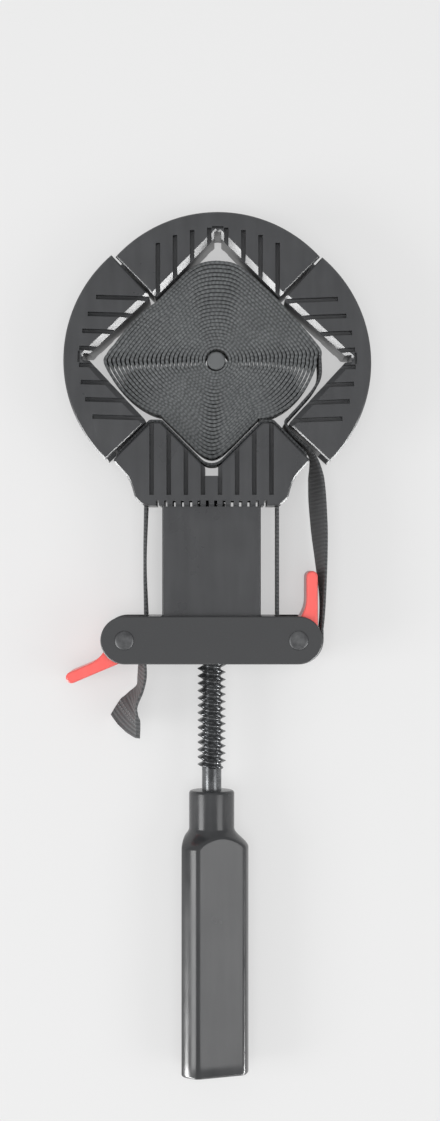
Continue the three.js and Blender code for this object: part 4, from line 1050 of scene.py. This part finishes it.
def coil_point(share):
    """The coil's middle line at a share of its turns, from its outer end inwards."""
    angle = share * COIL_TURNS * 2 * math.pi
    left = 1 - share
    fading = left**COIL_FADING
    inner = COIL_CORE_RADIUS + CORE_EASE + COIL_LEAST_THICKNESS / 2
    u = inner + (COIL_HALF_U - inner) * left
    v = inner + (COIL_HALF_V - inner) * left
    towards = [max(0, math.cos(angle - k * math.pi / 2)) ** 2 for k in range(4)]
    square = sum(sharp * nearness for sharp, nearness in zip(COIL_CORNER_POWERS, towards))
    power = 2 + (square - 2) * fading
    a, b = math.cos(angle + math.pi / 4), math.sin(angle + math.pi / 4)
    reach = (abs(a / u) ** power + abs(b / v) ** power) ** (-1 / power)
    facing = math.degrees(angle) % 360
    for middle, spread_out, share_out in COIL_BULGES:
        if abs(facing - middle) < spread_out:
            swell = math.cos(math.pi / 2 * (facing - middle) / spread_out) ** BULGE_EDGE
            reach *= 1 + share_out * fading * swell
    x = COIL_CORE_CENTRE[0] + (COIL_CENTRE[0] - COIL_CORE_CENTRE[0]) * left
    y = COIL_CORE_CENTRE[1] + (COIL_CENTRE[1] - COIL_CORE_CENTRE[1]) * left
    return Vector((x + reach * math.cos(angle), y + reach * math.sin(angle)))


def coil_stations():
    """Places along the spiral, the share of its turns at each, and its whole length."""
    fine = [coil_point(k / COIL_FINE_STEPS) for k in range(COIL_FINE_STEPS + 1)]
    spots, shares, gone, total = [fine[0]], [0.0], 0.0, 0.0
    for k, (a, b) in enumerate(zip(fine, fine[1:])):
        gone += (b - a).length
        total += (b - a).length
        if gone >= COIL_STEP:
            spots.append(b)
            shares.append((k + 1) / COIL_FINE_STEPS)
            gone = 0.0
    return spots, shares, total


def turn_thickness(spot, share, out):
    """How thick a turn is drawn: as thick as the next turn inwards lets it be, within limits."""
    if share >= 1 - 1 / COIL_TURNS:
        return COIL_LEAST_THICKNESS
    pitch = abs((coil_point(share + 1 / COIL_TURNS) - spot).dot(out.xy))
    return min(max(pitch - TURN_GAP, COIL_LEAST_THICKNESS), COIL_MOST_THICKNESS)


def turn_top(spot, turn):
    """How high a turn's edge stands over the coil's middle height, without its dots."""
    place = Vector((spot.x / WANDER_SPREAD, spot.y / WANDER_SPREAD, turn * WANDER_PER_TURN))
    wander = TURN_WANDER * (0.5 + 0.5 * noise.noise(place))
    from_core = (spot - Vector(COIL_CORE_CENTRE)).length
    dish = DISH_DEPTH * max(0, 1 - (from_core / DISH_RADIUS) ** 2)
    return BAND_WIDTH / 2 + wander - dish


def coil():
    spots, shares, total = coil_stations()
    points = []
    along = 0.0
    for k, (spot, share) in enumerate(zip(spots, shares)):
        ahead = (spots[min(k + 1, len(spots) - 1)] - spots[max(k - 1, 0)]).normalized()
        out = Vector((-ahead.y, ahead.x, 0))
        along += (spot - spots[k - 1]).length if k else 0
        dot = 0.5 + 0.5 * math.cos(2 * math.pi * along / DOT_PITCH)
        side = turn_thickness(spot, share, out) / 2 + DOT_SWELL * (dot - 0.5)
        top = turn_top(spot, COIL_TURNS * k / len(spots)) + DOT_HEIGHT * (dot - 1)
        right = [(top - down, side * part) for down, part in TURN_ROUNDING]
        right.append((-BAND_WIDTH / 2, side))
        section = right + [(a, -b) for a, b in reversed(right[1:])]
        middle = Vector((spot.x, spot.y, COIL_HEIGHT))
        points += [(middle + Vector((0, 0, a)) + out * b) * MM for a, b in section]
    faces = tube_faces(len(spots), len(section))
    places = [row * COIL_STEP for row in range(len(spots))]
    uvs = tube_uvs(section, places, [0.0] * len(section))
    obj = mesh_piece("band_wound_up", points, faces, uvs)
    outward(obj, weld=True)
    finished(obj, WOUND_EDGES, "main_jaw", smooth=60)
    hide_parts("band_coil")


# Camera, light and floor
CAMERA_AT = (3.4, -30.2, 882)
FRAME_HEIGHT = 448.4  # what the photograph's height spans at the clamp's top
CAMERA_DISTANCE = 850
SENSOR = 36
CLIP_START = 0.05  # in metres, as is the next
CLIP_END = 60


def camera():
    data = bpy.data.cameras.new("camera")
    data.sensor_width = SENSOR
    data.lens = SENSOR * CAMERA_DISTANCE / FRAME_HEIGHT
    data.clip_start = CLIP_START
    data.clip_end = CLIP_END
    eye = bpy.data.objects.new("camera", data)
    eye.location = Vector(CAMERA_AT) * MM
    bpy.context.scene.collection.objects.link(eye)
    bpy.context.scene.camera = eye


def lamp(name, place, aim, size, power, diffuse=True, gloss=True):
    data = bpy.data.lights.new(name, "AREA")
    data.shape = "RECTANGLE"
    data.size, data.size_y = size
    data.energy = power
    light = bpy.data.objects.new(name, data)
    light.location = place
    light.rotation_euler = (Vector(aim) - Vector(place)).to_track_quat("-Z", "Y").to_euler()
    light.visible_camera = False
    light.visible_diffuse = diffuse
    light.visible_glossy = gloss
    bpy.context.scene.collection.objects.link(light)


# Places and sizes of the floor and the lamps are in metres, and powers in watts
FLOOR_HALF = 12
WORLD_WHITE = (1, 1, 1, 1)
WORLD_STRENGTH = 0.5
SQUARE_LAMPS = (  # name, place, aim, side, power, whether gloss shows it
    ("overhead", (0, -0.1, 1.5), (0, -0.05, 0), 0.7, 9, False),
    ("right_softbox", (0.85, -0.3, 0.95), (0, -0.02, 0), 0.6, 3.2, True),
    ("left_softbox", (-1.1, -0.3, 0.8), (0, -0.02, 0), 0.6, 7, True),
)
STRIP_TURNS = (-48, 48)  # degrees to the left and right of the handle's end
STRIP_DISTANCE = 1.5
STRIP_HEIGHT = 0.14
STRIP_SIZE = (1.1, 0.3)
STRIP_POWER = 38


def studio():
    square = ((-1, -1), (1, -1), (1, 1), (-1, 1))
    corners = [(a * FLOOR_HALF, b * FLOOR_HALF, 0) for a, b in square]
    floor = mesh_piece("floor", corners, [(0, 1, 2, 3)])
    finished(floor, FLOOR, smooth=None)
    world = bpy.data.worlds.new("studio")
    bpy.context.scene.world = world
    world.use_nodes = True
    background = world.node_tree.nodes["Background"]
    give(world.node_tree, background, Color=WORLD_WHITE, Strength=WORLD_STRENGTH)
    for name, place, aim, side, power, gloss in SQUARE_LAMPS:
        lamp(name, place, aim, (side, side), power, gloss=gloss)
    for number, degrees in enumerate(STRIP_TURNS):
        turn = math.radians(degrees)
        x, y = STRIP_DISTANCE * math.sin(turn), -STRIP_DISTANCE * math.cos(turn)
        place, aim = (x, y, STRIP_HEIGHT), (0, 0, STRIP_HEIGHT)
        lamp(f"front_strip_{number + 1}", place, aim, STRIP_SIZE, STRIP_POWER, diffuse=False)
    bpy.context.scene.view_settings.view_transform = "Standard"


camera()
studio()
moulded_pieces()
pivot_pins()
spindle()
handle()
band_loop()
band_strands()
band_tail()
band_wrap()
band_run()
coil()
